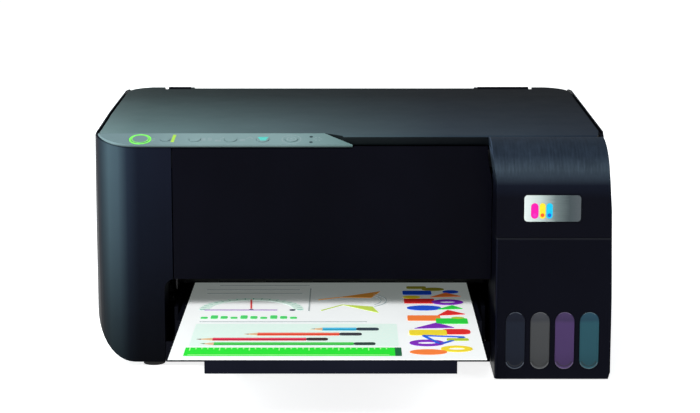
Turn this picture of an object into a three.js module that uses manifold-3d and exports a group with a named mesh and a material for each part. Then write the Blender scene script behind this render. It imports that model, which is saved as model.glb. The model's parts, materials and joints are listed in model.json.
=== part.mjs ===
// All-in-one ink tank inkjet printer, built as an assembly of separate solids.
// Millimetres, +Z up, +X towards the ink tanks, -Y towards the user. The y values below are measured
// from the middle of the cabinet, and the last section moves the whole group so that the origin is the
// centre of the bounding box's bottom face with the output tray pulled out.
import * as THREE from "three";
import { mergeVertices } from "three/addons/utils/BufferGeometryUtils.js";
import Module from "manifold-3d";

const wasm = await Module();
wasm.setup();

// ---------------------------------------------------------------- driving dimensions
const WIDTH = 375; // cabinet, side to side
const DEPTH = 347; // cabinet, tank front to rear paper feeder
const HALF_W = WIDTH / 2;
const TANK_FRONT_Y = -DEPTH / 2;
const REAR_Y = DEPTH / 2;
const FRONT_Y = -134; // front cover and left column
const SHELL_REAR_Y = 136; // rear face of the side covers
const CASE_Z = 3.8; // underside of the cabinet above its feet
const WALL = 2.4;
const GAP = 0.4; // between neighbouring pieces
const SHEET = { x: [-119, 91], frontY: -289, z: [45, 45.3], length: 297 }; // A4

const LEFT_SEAM_X = -128.7; // left column to front cover
const OPENING_X = -135; // left jamb of the output opening
const OPENING_Z = 66.3; // lower edge of the front cover
const TANK_X = 104.5; // left face of the ink tank unit
const TANK_SEAM_Z = 104.5; // hinged tank cover above, fixed tank case below
const TANK_CURVE_Z = 144.7; // where the tank cover's front starts to curve back
const PANEL_SEAM_Y = -114.5; // control panel to document cover
const PANEL_Z = 171.1; // height of that seam
const LID_SLOPE = 0.0252; // the document cover rises towards the back, mm per mm
const LID_X = [-184.4, 184];
const LID_FRONT_Y = -126.6;

const SCANNER_AXIS = [118, 157.5]; // y and z of the scanner unit's hinge
const COVER_AXIS = [125, 168.5]; // document cover hinge
const TANK_COVER_AXIS = [-132.6, 166.4];
const CAP_AXIS = [-135, 102.4];
const GUARD_AXIS = [141, 164.5];

// ---------------------------------------------------------------- shape helpers
// A closed three.js geometry as a manifold-3d solid.
function solid(geometry) {
  const flat = geometry.index ? geometry.toNonIndexed() : geometry;
  const bare = new THREE.BufferGeometry().setAttribute("position", flat.getAttribute("position").clone());
  const merged = mergeVertices(bare, 1e-4);
  return new wasm.Manifold(
    new wasm.Mesh({
      numProp: 3,
      vertProperties: new Float32Array(merged.attributes.position.array),
      triVerts: new Uint32Array(merged.index.array),
    }),
  );
}

// A manifold-3d solid as a three.js geometry.
function geometryOf(body) {
  const mesh = body.getMesh();
  const positions = new Float32Array(mesh.numVert * 3);
  for (let i = 0; i < mesh.numVert; i++)
    positions.set(mesh.vertProperties.subarray(i * mesh.numProp, i * mesh.numProp + 3), i * 3);
  return new THREE.BufferGeometry()
    .setAttribute("position", new THREE.BufferAttribute(positions, 3))
    .setIndex(new THREE.BufferAttribute(new Uint32Array(mesh.triVerts), 1));
}

const join = (first, ...rest) => rest.reduce((made, piece) => made.add(piece), first);
const cut = (first, ...rest) => rest.reduce((made, piece) => made.subtract(piece), first);

function block([x0, x1], [y0, y1], [z0, z1]) {
  const box = new THREE.BoxGeometry(x1 - x0, y1 - y0, z1 - z0);
  return solid(box.translate((x0 + x1) / 2, (y0 + y1) / 2, (z0 + z1) / 2));
}

function outline(points) {
  return points instanceof THREE.Shape ? points : new THREE.Shape(points.map(([a, b]) => new THREE.Vector2(a, b)));
}

// A flat outline pushed along one axis. The outline's two coordinates are the other two axes in order.
function prismZ(points, [z0, z1], curveSegments = 4) {
  const made = new THREE.ExtrudeGeometry(outline(points), { depth: z1 - z0, bevelEnabled: false, curveSegments });
  return solid(made.translate(0, 0, z0));
}

function prismX(points, [x0, x1], curveSegments = 4) {
  const made = new THREE.ExtrudeGeometry(outline(points), { depth: x1 - x0, bevelEnabled: false, curveSegments });
  const yzToX = new THREE.Matrix4().set(0, 0, 1, x0, 1, 0, 0, 0, 0, 1, 0, 0, 0, 0, 0, 1);
  return solid(made.applyMatrix4(yzToX));
}

function prismY(points, [y0, y1], curveSegments = 4) {
  const made = new THREE.ExtrudeGeometry(outline(points), { depth: y1 - y0, bevelEnabled: false, curveSegments });
  const xzToY = new THREE.Matrix4().set(1, 0, 0, 0, 0, 0, -1, y1, 0, 1, 0, 0, 0, 0, 0, 1);
  return solid(made.applyMatrix4(xzToY));
}

// A round bar along one axis.
function rodX(y, z, radius, [x0, x1], sides = 16) {
  const made = new THREE.CylinderGeometry(radius, radius, x1 - x0, sides).rotateZ(Math.PI / 2);
  return solid(made.translate((x0 + x1) / 2, y, z));
}

function rodY(x, z, radius, [y0, y1], sides = 16) {
  const made = new THREE.CylinderGeometry(radius, radius, y1 - y0, sides);
  return solid(made.translate(x, (y0 + y1) / 2, z));
}

function rodZ(x, y, radius, [z0, z1], sides = 16) {
  const made = new THREE.CylinderGeometry(radius, radius, z1 - z0, sides).rotateX(Math.PI / 2);
  return solid(made.translate(x, y, (z0 + z1) / 2));
}

// A rectangle from corner to corner with four corner radii, counter-clockwise from the lower left.
function roundedRectangle([x0, x1], [y0, y1], [lowLeft, lowRight, highRight, highLeft]) {
  const shape = new THREE.Shape();
  const quarter = Math.PI / 2;
  shape.moveTo(x0 + lowLeft, y0);
  shape.lineTo(x1 - lowRight, y0);
  if (lowRight) shape.absarc(x1 - lowRight, y0 + lowRight, lowRight, -quarter, 0);
  shape.lineTo(x1, y1 - highRight);
  if (highRight) shape.absarc(x1 - highRight, y1 - highRight, highRight, 0, quarter);
  shape.lineTo(x0 + highLeft, y1);
  if (highLeft) shape.absarc(x0 + highLeft, y1 - highLeft, highLeft, quarter, 2 * quarter);
  shape.lineTo(x0, y0 + lowLeft);
  if (lowLeft) shape.absarc(x0 + lowLeft, y0 + lowLeft, lowLeft, 2 * quarter, 3 * quarter);
  return shape;
}

// ---------------------------------------------------------------- materials
const plastic = (color, roughness = 0.5) => new THREE.MeshStandardMaterial({ color, roughness, metalness: 0 });
const metal = (color, roughness = 0.35) => new THREE.MeshStandardMaterial({ color, roughness, metalness: 1 });
const clear = (color) => new THREE.MeshStandardMaterial({ color, roughness: 0.05, transparent: true, opacity: 0.4 });
const MATERIALS = {
  shell: plastic(0x15161c, 0.45),
  top: plastic(0x1c2026, 0.6),
  inner: plastic(0x202226, 0.7),
  button: plastic(0x2a3034, 0.55),
  light: plastic(0x7dec5a, 0.3),
  rubber: plastic(0x101010, 0.9),
  steel: metal(0xa8acb0),
  badge: metal(0x9aa4a4, 0.3),
  glass: clear(0xd8e4e6),
  mat: plastic(0xe8e8e4, 0.85),
  paper: plastic(0xf4f4f2, 0.9),
  board: plastic(0x1f5a38, 0.6),
  white: plastic(0xd0d0cc, 0.5),
  black_ink: plastic(0x1e222c, 0.2),
  yellow_ink: plastic(0x4b4b48, 0.2),
  magenta_ink: plastic(0x503c6e, 0.2),
  cyan_ink: plastic(0x2d5a64, 0.2),
};

const printer = new THREE.Group();
function add(name, body, material) {
  const mesh = new THREE.Mesh(geometryOf(body), MATERIALS[material]);
  mesh.name = name;
  printer.add(mesh);
}

// ---------------------------------------------------------------- cabinet envelope
const SHELL_CORNER = 32; // plan radius of the front left corner
const REAR_CORNER = 28; // plan radius of the rear corners
const SHELL_TOP_Z = 181; // above everything, so the rim is cut from it
const RIM_DROP = 1.9; // along the control panel the rim stands this far below it
const LIP_DROP = 0.3; // beside the document cover it rises to just below the cover's top
const REAR_RIM_Z = 171; // lower behind, where the raised cover's rear edge swings back
const FRONT_RIM_Z = 162.6;
const lidZ = (y) => PANEL_Z + (y - PANEL_SEAM_Y) * LID_SLOPE;
const everywhereX = [-200, 200];

// The cabinet seen from above, taken in by an offset.
function cabinetPlan(offset) {
  return roundedRectangle(
    [-HALF_W + offset, HALF_W - offset],
    [FRONT_Y + offset, SHELL_REAR_Y - offset],
    [SHELL_CORNER - offset, 0, REAR_CORNER - offset, REAR_CORNER - offset],
  );
}

// The cabinet seen from the front: a big rounded lower left corner, above which the left side leans in a little.
function cabinetSection(offset) {
  const shape = new THREE.Shape();
  shape.moveTo(HALF_W - 5, CASE_Z + offset);
  shape.lineTo(HALF_W - offset, CASE_Z + 5);
  shape.lineTo(HALF_W - offset, SHELL_TOP_Z);
  shape.lineTo(-185.8 + offset, SHELL_TOP_Z);
  shape.lineTo(-HALF_W + offset, 90);
  shape.lineTo(-HALF_W + offset, CASE_Z + 40);
  shape.absellipse(-HALF_W + 30, CASE_Z + 40, 30 - offset, 40 - offset, Math.PI, 1.5 * Math.PI);
  return shape;
}

function cabinetHull(offset) {
  const tall = prismZ(cabinetPlan(offset), [0, SHELL_TOP_Z], 6);
  const section = prismY(cabinetSection(offset), [FRONT_Y - 1, SHELL_REAR_Y + 1], 6);
  // Towards the back the left side comes upright.
  const upright = prismZ(
    [
      [-185.8 + offset, -106],
      [0, -106],
      [0, 150],
      [-HALF_W + offset, 150],
      [-HALF_W + offset, -10],
    ],
    [89, SHELL_TOP_Z],
  );
  return tall.intersect(join(section, upright));
}

// Everything above the rim, which follows the control panel and then the document cover, or a little higher.
function aboveRim(lift) {
  return prismX(
    [
      [FRONT_Y - 50, FRONT_RIM_Z + lift],
      [FRONT_Y, FRONT_RIM_Z + lift],
      [PANEL_SEAM_Y, PANEL_Z - RIM_DROP + lift],
      [-104, lidZ(-104) - LIP_DROP + lift],
      [105, lidZ(105) - LIP_DROP + lift],
      [117, lidZ(105) - LIP_DROP + lift],
      [121, REAR_RIM_Z + lift],
      [REAR_Y, REAR_RIM_Z + lift],
      [REAR_Y, 210],
      [FRONT_Y - 50, 210],
    ],
    everywhereX,
  );
}

const openShell = cut(cabinetHull(0), cabinetHull(WALL), aboveRim(0));

// Beside the document cover the rim thins to a lip, which leaves a groove around the cover.
const lipGroove = () => cabinetHull(1.1).intersect(aboveRim(-2.4)).intersect(block(everywhereX, [-110, 200], [0, 220]));

// A top piece whose upper part stands over the rim and whose lower part stays inside the shell.
const overTheRim = (body) => join(body.intersect(aboveRim(GAP)), body.intersect(cabinetHull(WALL + 0.7)));

// ---------------------------------------------------------------- side covers
const REAR_BOX_X = [-136, 104]; // the rear paper feeder stands between these
const HINGES = [
  { name: "cover_hinge_left", x: [-152.9, -133.9] },
  { name: "cover_hinge_right", x: [109, 152.2] },
];
const INLET = { x: -148, z: 40, half: [10.2, 7.4] };
const USB = { x: 146, z: 46, half: [6.4, 6.2] };

// A blind bearing block on a side wall for one of the scanner unit's hinge pins.
function scannerBearing([x0, x1]) {
  return block([x0, x1], [111, 125], [149.5, 163.6]).intersect(cabinetHull(1));
}

const hingeNotch = ([x0, x1]) => block([x0 - 3.6, x1 + 3.6], [130, 140], [157, 190]);
const portHole = (port) =>
  block([port.x - port.half[0], port.x + port.half[0]], [128, 140], [port.z - port.half[1], port.z + port.half[1]]);

function leftCover() {
  const region = join(
    block([-200, LEFT_SEAM_X], [-140, -100.1], [0, 200]),
    block([-200, OPENING_X], [-100.2, 133.3], [0, 200]),
    block([-200, REAR_BOX_X[0]], [133.2, 140], [0, 200]),
  );
  // The output opening takes a step out of the column's inner edge, with a rounded top corner.
  const opening = roundedRectangle([OPENING_X, 0], [-5, OPENING_Z], [0, 0, 0, 8]);
  const jamb = block([OPENING_X - WALL, OPENING_X], [FRONT_Y + 1, -100], [CASE_Z + 1, OPENING_Z - 4]);
  return cut(
    join(cut(openShell.intersect(region), prismY(opening, [-140, 140])), jamb, scannerBearing([-185.6, -180.6])),
    lipGroove(),
    portHole(INLET),
    hingeNotch(HINGES[0].x),
    rodX(...SCANNER_AXIS, 2.9, [-184.2, -170]),
  );
}

function rightCover() {
  const region = join(
    block([TANK_X, 200], [-99.4, 133.3], [0, 200]),
    block([REAR_BOX_X[1], 200], [133.2, 140], [0, 200]),
    block([170, 200], [-127.2, -99], [TANK_SEAM_Z + 0.4, 200]),
  );
  const vents = [0, 1, 2, 3, 4].map((n) => block([180, 190], [60 + 8 * n, 64 + 8 * n], [70, 104]));
  // Beside the tank cover the wall turns in towards the front.
  const frontWall = cut(
    prismZ([[183.6, -127.2], [186, -127.2], [187.2, -104], [187.2, -99.2], [185, -99.2]], [TANK_SEAM_Z + 0.4, 200]),
    aboveRim(0),
  );
  const turnedIn = prismZ([[185.7, -140], [200, -140], [200, -104], [187.5, -104], [185.7, -128]], [90, 200]);
  return cut(
    join(openShell.intersect(region), scannerBearing([179.4, 185.6]), frontWall),
    turnedIn,
    lipGroove(),
    portHole(USB),
    hingeNotch(HINGES[1].x),
    ...vents,
    rodX(...SCANNER_AXIS, 2.9, [170, 183.2]),
  );
}

// ---------------------------------------------------------------- front cover, lower case and feet
function frontCover() {
  const [x0, x1] = [LEFT_SEAM_X + 0.8, TANK_X - 0.6];
  const slotX = 4; // the finger slot runs from here to the tank unit
  const face = prismY(
    [
      [x0, OPENING_Z],
      [x1, OPENING_Z],
      [x1, 138],
      [x1 - 3.1, 156],
      [x1 - 3.1, 164.2],
      [slotX, 164.2],
      [slotX - 1.6, FRONT_RIM_Z],
      [x0, FRONT_RIM_Z],
    ],
    [FRONT_Y, FRONT_Y + WALL],
  );
  const flanges = [OPENING_Z, 143].map((z) => block([x0, x1 - 1], [FRONT_Y + 1, -112], [z, z + WALL]));
  const ribs = [-70, -14, 42].map((x) => block([x, x + 2], [FRONT_Y + 1, -114], [OPENING_Z + 1, 144]));
  return join(face, ...flanges, ...ribs);
}

const CASE_X = [OPENING_X + 0.3, TANK_X - 0.4];
function lowerCase() {
  const floor = block(CASE_X, [FRONT_Y, 133.2], [CASE_Z, CASE_Z + WALL]);
  const lip = block(CASE_X, [FRONT_Y, FRONT_Y + WALL], [CASE_Z, 19]);
  const backWall = block(CASE_X, [130.8, 133.2], [CASE_Z, 44]);
  const walls = [-128.5, 97.5].map((x) => block([x, x + 3], [-128, 60], [CASE_Z, 44]));
  const ledges = [[-126, -118], [90, 98]].map((x) => block(x, [-128, 24], [21, 24.6]));
  return join(floor, lip, backWall, ...walls, ...ledges);
}

const FEET = [
  { name: "foot_front_left", x: -144.5, y: -121, top: CASE_Z - 0.3 },
  { name: "foot_rear_left", x: -128, y: 118, top: CASE_Z - 0.3 },
  { name: "foot_rear_right", x: 160, y: 108, top: CASE_Z - 0.3 },
  { name: "foot_front_right", x: 168, y: -160, top: 1 },
];

// ---------------------------------------------------------------- rear paper feeder
const CHUTE_LEAN = THREE.MathUtils.degToRad(25); // from the vertical, leaning back
const CHUTE_TOP = [160, 164]; // y and z of the face's top edge
const chuteAxis = [Math.sin(CHUTE_LEAN), Math.cos(CHUTE_LEAN)];

// A point on the chute: a distance down from its top edge and a distance out of its face.
function onChute(down, out) {
  const [s, c] = chuteAxis;
  return [CHUTE_TOP[0] - down * s - out * c, CHUTE_TOP[1] - down * c + out * s];
}

// A slab lying along the chute.
function chuteSlab(x, [down0, down1], [out0, out1]) {
  return prismX([onChute(down1, out0), onChute(down0, out0), onChute(down0, out1), onChute(down1, out1)], x);
}

const FEED_X = [REAR_BOX_X[0] + 0.4, REAR_BOX_X[1] - 0.4];
const GUIDE_ROD = onChute(70, 9.5);
const PICKUP_AXIS = onChute(108, 11.5);
const CHEEK = 2.4;

function rearCover() {
  const [x0, x1] = FEED_X;
  const outer = prismZ(roundedRectangle([x0, x1], [SHELL_REAR_Y + 0.4, REAR_Y], [0, 0, 9, 9]), [CASE_Z, 168], 3);
  const inner = prismZ(
    roundedRectangle([x0 + WALL, x1 - WALL], [SHELL_REAR_Y - 1, REAR_Y - WALL], [0, 0, 6.6, 6.6]),
    [CASE_Z + WALL, 200],
    3,
  );
  const face = chuteSlab([x0 + 0.2, x1 - 0.2], [1, 126], [-3, 0]);
  const cheeks = [x0, x1 - CHEEK].map((x) => chuteSlab([x, x + CHEEK], [4, 126], [-3, 15]));
  const rails = [[-107.4, -104.4, -101], [79.4, 76.4, 73]].map(([edge, inside, lip]) =>
    join(
      chuteSlab([Math.min(edge, inside), Math.max(edge, inside)], [6, 100], [-1, 5]),
      chuteSlab([Math.min(edge, lip), Math.max(edge, lip)], [6, 100], [3.5, 5]),
    ),
  );
  const vents = [0, 1, 2, 3, 4, 5].map((n) => block([-60 + 14 * n, -51 + 14 * n], [168, 176], [22, 30]));
  return cut(
    join(cut(outer, inner), face, ...cheeks, ...rails, rodX(...GUIDE_ROD, 2, [x0 + 1, x1 - 1], 10)),
    ...vents,
    rodX(...PICKUP_AXIS, 2.6, [x0 - 1, x1 + 1]),
    rodX(...GUARD_AXIS, 1.6, [x0 + 0.8, x1 - 0.8], 12),
  );
}

const SUPPORT_X = [-104, 76];
const EXTENSION_X = [-60, 32];
function paperSupport() {
  const slab = chuteSlab(SUPPORT_X, [3, 92], [0.5, 3.1]);
  const grip = chuteSlab([-44, 16], [1.4, 5], [0.5, 3.1]);
  const pocket = chuteSlab([EXTENSION_X[0] - 0.4, EXTENSION_X[1] + 0.4], [-2, 88], [1.3, 4]);
  return cut(join(slab, grip), pocket);
}

const supportExtension = () => chuteSlab(EXTENSION_X, [1.6, 84], [1.7, 3]);

function feederGuard() {
  const flap = prismZ(
    roundedRectangle([FEED_X[0] + CHEEK + 0.5, FEED_X[1] - CHEEK - 0.5], [138.6, 154.6], [1, 1, 4, 4]),
    [164.6, 167.4],
    2,
  );
  const barrel = rodX(...GUARD_AXIS, 2.4, [FEED_X[0] + CHEEK + 0.5, FEED_X[1] - CHEEK - 0.5], 16);
  return join(flap, barrel, rodX(...GUARD_AXIS, 1.5, [FEED_X[0] + 1.2, FEED_X[1] - 1.2], 12));
}

// An edge guide: an upright along the chute that slides on the rod, its inner face against the sheet.
function edgeGuide(faceX, away) {
  const x = [Math.min(faceX, faceX + away * 3), Math.max(faceX, faceX + away * 3)];
  const wide = [Math.min(faceX, faceX + away * 9), Math.max(faceX, faceX + away * 9)];
  const upright = chuteSlab(x, [14, 78], [5.4, 16]);
  const runner = chuteSlab(wide, [64, 76], [5.4, 13.6]);
  return cut(join(upright, runner), rodX(...GUIDE_ROD, 2.1, everywhereX, 12));
}

function pickupRoller() {
  const shaft = rodX(...PICKUP_AXIS, 2.5, [FEED_X[0] + 0.2, FEED_X[1] - 0.2]);
  return join(shaft, rodX(...PICKUP_AXIS, 10, [-40, 12], 28));
}

// ---------------------------------------------------------------- ink tank unit
const TANK_PITCH = 17.65;
const TANK_FIRST_X = 119.1;
const INKS = ["black", "yellow", "magenta", "cyan"];
const tankX = (n) => TANK_FIRST_X + n * TANK_PITCH;
const WINDOW = { halfWidth: 7.2, z: [8.3, 50.7] };
const TANK_BOTTOM_Z = 1.3;
const DECK_Z = [100.5, 103];
const NECK_Y = -150;
const TANK_BACK_Y = -99.8;
const COMPARTMENT_BACK_Y = [-127.8, -125.6];

const pill = (x, halfWidth, z) =>
  roundedRectangle([x - halfWidth, x + halfWidth], z, Array(4).fill(halfWidth - 0.01));

// The tank unit seen from the front: the left side leans out at the top, the right side follows the cabinet.
function tankSection(offset) {
  return [
    [TANK_X + offset, TANK_BOTTOM_Z + offset],
    [HALF_W - 1.5 - offset, TANK_BOTTOM_Z + offset],
    [HALF_W - offset, TANK_BOTTOM_Z + 5],
    [HALF_W - offset, 60],
    [186.3 - offset, 124],
    [184.5 - offset, 150],
    [184 - offset, 180],
    [101.2 + offset, 180],
    [101.4 + offset, 168],
    [TANK_X + offset, TANK_CURVE_Z],
  ];
}

function tankCase() {
  const body = prismZ(
    roundedRectangle([TANK_X, 190], [TANK_FRONT_Y, TANK_BACK_Y], [3, 3, 0, 0]),
    [0, TANK_SEAM_Z - 0.3],
    2,
  ).intersect(prismY(tankSection(0), [-180, -90]));
  const insideWalls = prismY(tankSection(WALL), [-180, -80]);
  const hollow = block([100, 200], [TANK_FRONT_Y + WALL, -90], [0, DECK_Z[0]]).intersect(insideWalls);
  const topHollow = block([100, 200], [TANK_FRONT_Y + WALL, -90], [DECK_Z[1], 120]).intersect(insideWalls);
  const hingeBar = block([tankX(0) - 8.2, tankX(3) + 8.2], [-138.5, -131.5], [DECK_Z[0] + 0.2, 105.2]);
  const back = block([TANK_X + 1, 181.4], COMPARTMENT_BACK_Y, [DECK_Z[0] + 0.2, 147]);
  const ears = [107.6, 179.1].map((x) =>
    join(
      block([x, x + 2.6], [-134.6, -126], [120, 150]),
      block([x, x + 2.6], [-134.6, -130.6], [148, TANK_COVER_AXIS[1]]),
      rodX(...TANK_COVER_AXIS, 2.6, [x, x + 2.6], 16),
    ),
  );
  const windows = [0, 1, 2, 3].map((n) => prismY(pill(tankX(n), WINDOW.halfWidth, WINDOW.z), [-180, -165], 3));
  const neckHoles = [0, 1, 2, 3].map((n) => rodZ(tankX(n), NECK_Y, 5.2, [90, 110]));
  const capSlots = [0, 1, 2, 3].map((n) => block([tankX(n) - 4, tankX(n) + 4], [-138.4, -128.4], [98.4, 110]));
  return cut(
    join(cut(body, hollow, topHollow), hingeBar, back, ...ears),
    ...windows,
    ...neckHoles,
    ...capSlots,
    rodX(...CAP_AXIS, 1.35, [tankX(0) - 7, tankX(3) + 7], 8),
    rodX(...TANK_COVER_AXIS, 1.6, [100, 190], 16),
  );
}

// One tank: a thin-walled box whose window pushes into the case's slot, with a filler neck on top.
function inkTank(n) {
  const x = tankX(n);
  const half = TANK_PITCH / 2 - 0.5;
  const bodyBlock = block([x - half, x + half], [TANK_FRONT_Y + WALL + 0.4, TANK_BACK_Y - 1], [4.6, 98.6]);
  const lens = prismY(
    pill(x, WINDOW.halfWidth - 0.35, [WINDOW.z[0] + 0.35, WINDOW.z[1] - 0.35]),
    [TANK_FRONT_Y + 0.5, -170],
    3,
  );
  const hollow = block([x - half + 1.5, x + half - 1.5], [-168.6, TANK_BACK_Y - 2.5], [6.2, 97]);
  return cut(join(bodyBlock, lens, rodZ(x, NECK_Y, 4.8, [98, 103.6], 16)), hollow, rodZ(x, NECK_Y, 3, [96, 110], 16));
}

function tankCap(n) {
  const x = tankX(n);
  const flap = prismZ(roundedRectangle([x - 7, x + 7], [-160, -139.2], [6, 6, 1, 1]), [104.1, 107.6], 2);
  const plug = rodZ(x, NECK_Y, 2.6, [102.6, 104.5], 10);
  const lug = block([x - 3.4, x + 3.4], [-140, CAP_AXIS[0] - 1], [105.6, 107.6]);
  const riser = block([x - 3.4, x + 3.4], [CAP_AXIS[0] - 2.2, CAP_AXIS[0] + 2.2], [CAP_AXIS[1], 107.6]);
  const barrel = rodX(...CAP_AXIS, 2.2, [x - 3.4, x + 3.4], 12);
  return join(flap, plug, lug, riser, barrel, rodX(...CAP_AXIS, 1.2, [x - 5.6, x + 5.6], 8));
}

const TANK_COVER_REAR_Y = -128.4;
function coverProfile(offset) {
  const shape = new THREE.Shape();
  const [rearY, topZ] = [TANK_COVER_REAR_Y - offset, lidZ(TANK_COVER_REAR_Y) - offset];
  const round = 2.5;
  shape.moveTo(TANK_FRONT_Y + offset, TANK_SEAM_Z - (offset ? 1 : 0));
  shape.lineTo(rearY, TANK_SEAM_Z - (offset ? 1 : 0));
  shape.lineTo(rearY, topZ - round);
  shape.absarc(rearY - round, topZ - round, round, 0, Math.PI / 2);
  shape.absellipse(
    rearY - 3,
    TANK_CURVE_Z,
    rearY - 3 - TANK_FRONT_Y - offset,
    topZ - TANK_CURVE_Z,
    Math.PI / 2,
    Math.PI,
  );
  return shape;
}

function tankCover() {
  const outside = prismX(coverProfile(0), [90, 200], 6).intersect(prismY(tankSection(0), [-180, -100]));
  const inside = prismX(coverProfile(WALL), [90, 200], 6).intersect(prismY(tankSection(WALL), [-180, -100]));
  const openBack = block([TANK_X - 1.4 + WALL, 184.4 - WALL], [-140, -120], [100, TANK_COVER_AXIS[1] - 3.8]);
  const earRelief = rodX(...TANK_COVER_AXIS, 3, [106.9, 182.1]);
  const earSlots = [[106.9, 110.9], [178.7, 182.6]].map((x) => block(x, [-131.6, -120], [100, 190]));
  const barrelSpan = [111, 178.6];
  const barrel = join(
    rodX(...TANK_COVER_AXIS, 3.4, barrelSpan),
    block(barrelSpan, [TANK_COVER_AXIS[0] - 2, TANK_COVER_AXIS[0] + 2], [TANK_COVER_AXIS[1], TANK_COVER_AXIS[1] + 3]),
    rodX(...TANK_COVER_AXIS, 1.5, [106.9, 182.1], 16),
  );
  return join(cut(outside, inside, openBack, earRelief, ...earSlots), barrel);
}

function badge() {
  const plate = new THREE.ExtrudeGeometry(roundedRectangle([124.1, 164.2], [116.3, 135.2], [2.5, 2.5, 2.5, 2.5]), {
    depth: 0.6,
    bevelEnabled: false,
    curveSegments: 3,
  });
  const xzToY = new THREE.Matrix4().set(1, 0, 0, 0, 0, 0, -1, TANK_FRONT_Y - 0.3, 0, 1, 0, 0, 0, 0, 0, 1);
  return solid(plate.applyMatrix4(xzToY));
}

// ---------------------------------------------------------------- scanner unit
const BASE_Z = [148, 160.4];
const OBLIQUE = { rear: [-18, PANEL_SEAM_Y], front: [4, FRONT_Y] }; // the control panel's right end
const SOCKET_Y = [119.5, 131];
const POST_Y = [121.6, 128.4];

// The outline of the scanner unit from above: it steps back where the ink tanks are.
function scannerPlan(rearY) {
  return [
    [-184, FRONT_Y + 2.8],
    [100.9, FRONT_Y + 2.8],
    [100.9, -125.2],
    [179.4, -125.2],
    [179.4, rearY],
    [-184, rearY],
  ];
}

// The scanner unit clears the shell, by more at the rear, where its corners swing back as it is lifted.
function insideShell(body) {
  const whole = body.intersect(cabinetHull(WALL + 0.8));
  const front = whole.intersect(block(everywhereX, [-200, 105], [0, 200]));
  return join(front, whole.intersect(prismZ(cabinetPlan(WALL + 3.4), [0, 200])));
}

function scannerBase() {
  const outer = insideShell(prismZ(scannerPlan(SOCKET_Y[1]), BASE_Z));
  const well = block([-176, 130], [-110, 116], [150, 170]);
  const sideWell = block([132.5, 177], [-122, 116], [150, 170]);
  const frontWell = block([-150, 100], [-128.8, -112.4], [150, 170]);
  const bearingRelief = [[-190, -180.2], [179, 190]].map((x) => block(x, [105, 132], [147, 170]));
  const pins = [[-183.8, -179], [178, 182.8]].map((x) => rodX(...SCANNER_AXIS, 2.8, x));
  const sockets = HINGES.map(({ x }) => block([x[0] - 2.4, x[1] + 2.4], SOCKET_Y, [144, BASE_Z[1]]));
  const postHoles = HINGES.map(({ x }) =>
    block([x[0] - 0.3, x[1] + 0.3], [POST_Y[0] - 0.3, POST_Y[1] + 0.3], [145.6, 170]),
  );
  const rod = rodX(0, 154, 2, [-177, 131], 12);
  return join(cut(join(cut(outer, ...bearingRelief), ...sockets), well, sideWell, frontWell, ...postHoles), rod, ...pins);
}

const GLASS = { x: [-172, 128], y: [-105, 113], z: [161.5, 163.2] };
function scannerFrame() {
  const plan = [
    [-184, PANEL_SEAM_Y + 1],
    [102.6, PANEL_SEAM_Y + 1],
    [102.6, -125.2],
    [179.4, -125.2],
    [179.4, SOCKET_Y[1]],
    [-184, SOCKET_Y[1]],
  ];
  const plate = insideShell(prismZ(plan, [160.7, 163.4]));
  const seat = block([GLASS.x[0] - 0.3, GLASS.x[1] + 0.3], [GLASS.y[0] - 0.3, GLASS.y[1] + 0.3], [161.2, 170]);
  const window = block([GLASS.x[0] + 2.5, GLASS.x[1] - 2.5], [GLASS.y[0] + 2.5, GLASS.y[1] - 2.5], [155, 170]);
  const bearingRelief = [[-190, -180.2], [179, 190]].map((x) => block(x, [105, 132], [147, 170]));
  const postHoles = HINGES.map(({ x }) =>
    block([x[0] - 0.3, x[1] + 0.3], [POST_Y[0] - 0.3, POST_Y[1] + 0.3], [150, 170]),
  );
  return cut(plate, seat, window, ...bearingRelief, ...postHoles);
}

const CIS_X = [-170, -152];
function cisCarriage() {
  const bar = block(CIS_X, [-106, 112], [151.4, 158.4]);
  const lamp = block([CIS_X[0] + 6, CIS_X[1] - 6], [-104, 110], [158, 160]);
  return cut(join(bar, lamp), rodX(0, 154, 2.1, everywhereX, 12));
}

// The control panel's slope, seen from the side.
const PANEL_FRONT_Z = 165.2;
const panelTop = (y) => PANEL_FRONT_Z + ((PANEL_Z - PANEL_FRONT_Z) * (y + 133)) / (PANEL_SEAM_Y - GAP + 133);
const PANEL_TILT = Math.atan2(PANEL_Z - PANEL_FRONT_Z, PANEL_SEAM_Y - GAP + 133);
const BUTTON_Y = -124.4;
const BUTTONS = [
  { name: "power_button", x: -151.8, radius: 6.6 },
  { name: "network_button", x: -133.6, radius: 3.6 },
  { name: "info_button", x: -112, radius: 4.2 },
  { name: "copy_mono_button", x: -86, radius: 4.6 },
  { name: "copy_colour_button", x: -62.6, radius: 4.6 },
  { name: "stop_button", x: -41.7, radius: 4.6 },
];

// A short cylinder standing on the panel's slope, between two heights above its face.
function onPanel(x, radius, [low, high], sides = 18) {
  const disc = new THREE.CylinderGeometry(radius, radius, high - low, sides).rotateX(Math.PI / 2 + PANEL_TILT);
  const middle = (low + high) / 2;
  const [s, c] = [Math.sin(PANEL_TILT), Math.cos(PANEL_TILT)];
  return solid(disc.translate(x, BUTTON_Y - middle * s, panelTop(BUTTON_Y) + middle * c));
}

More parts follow.
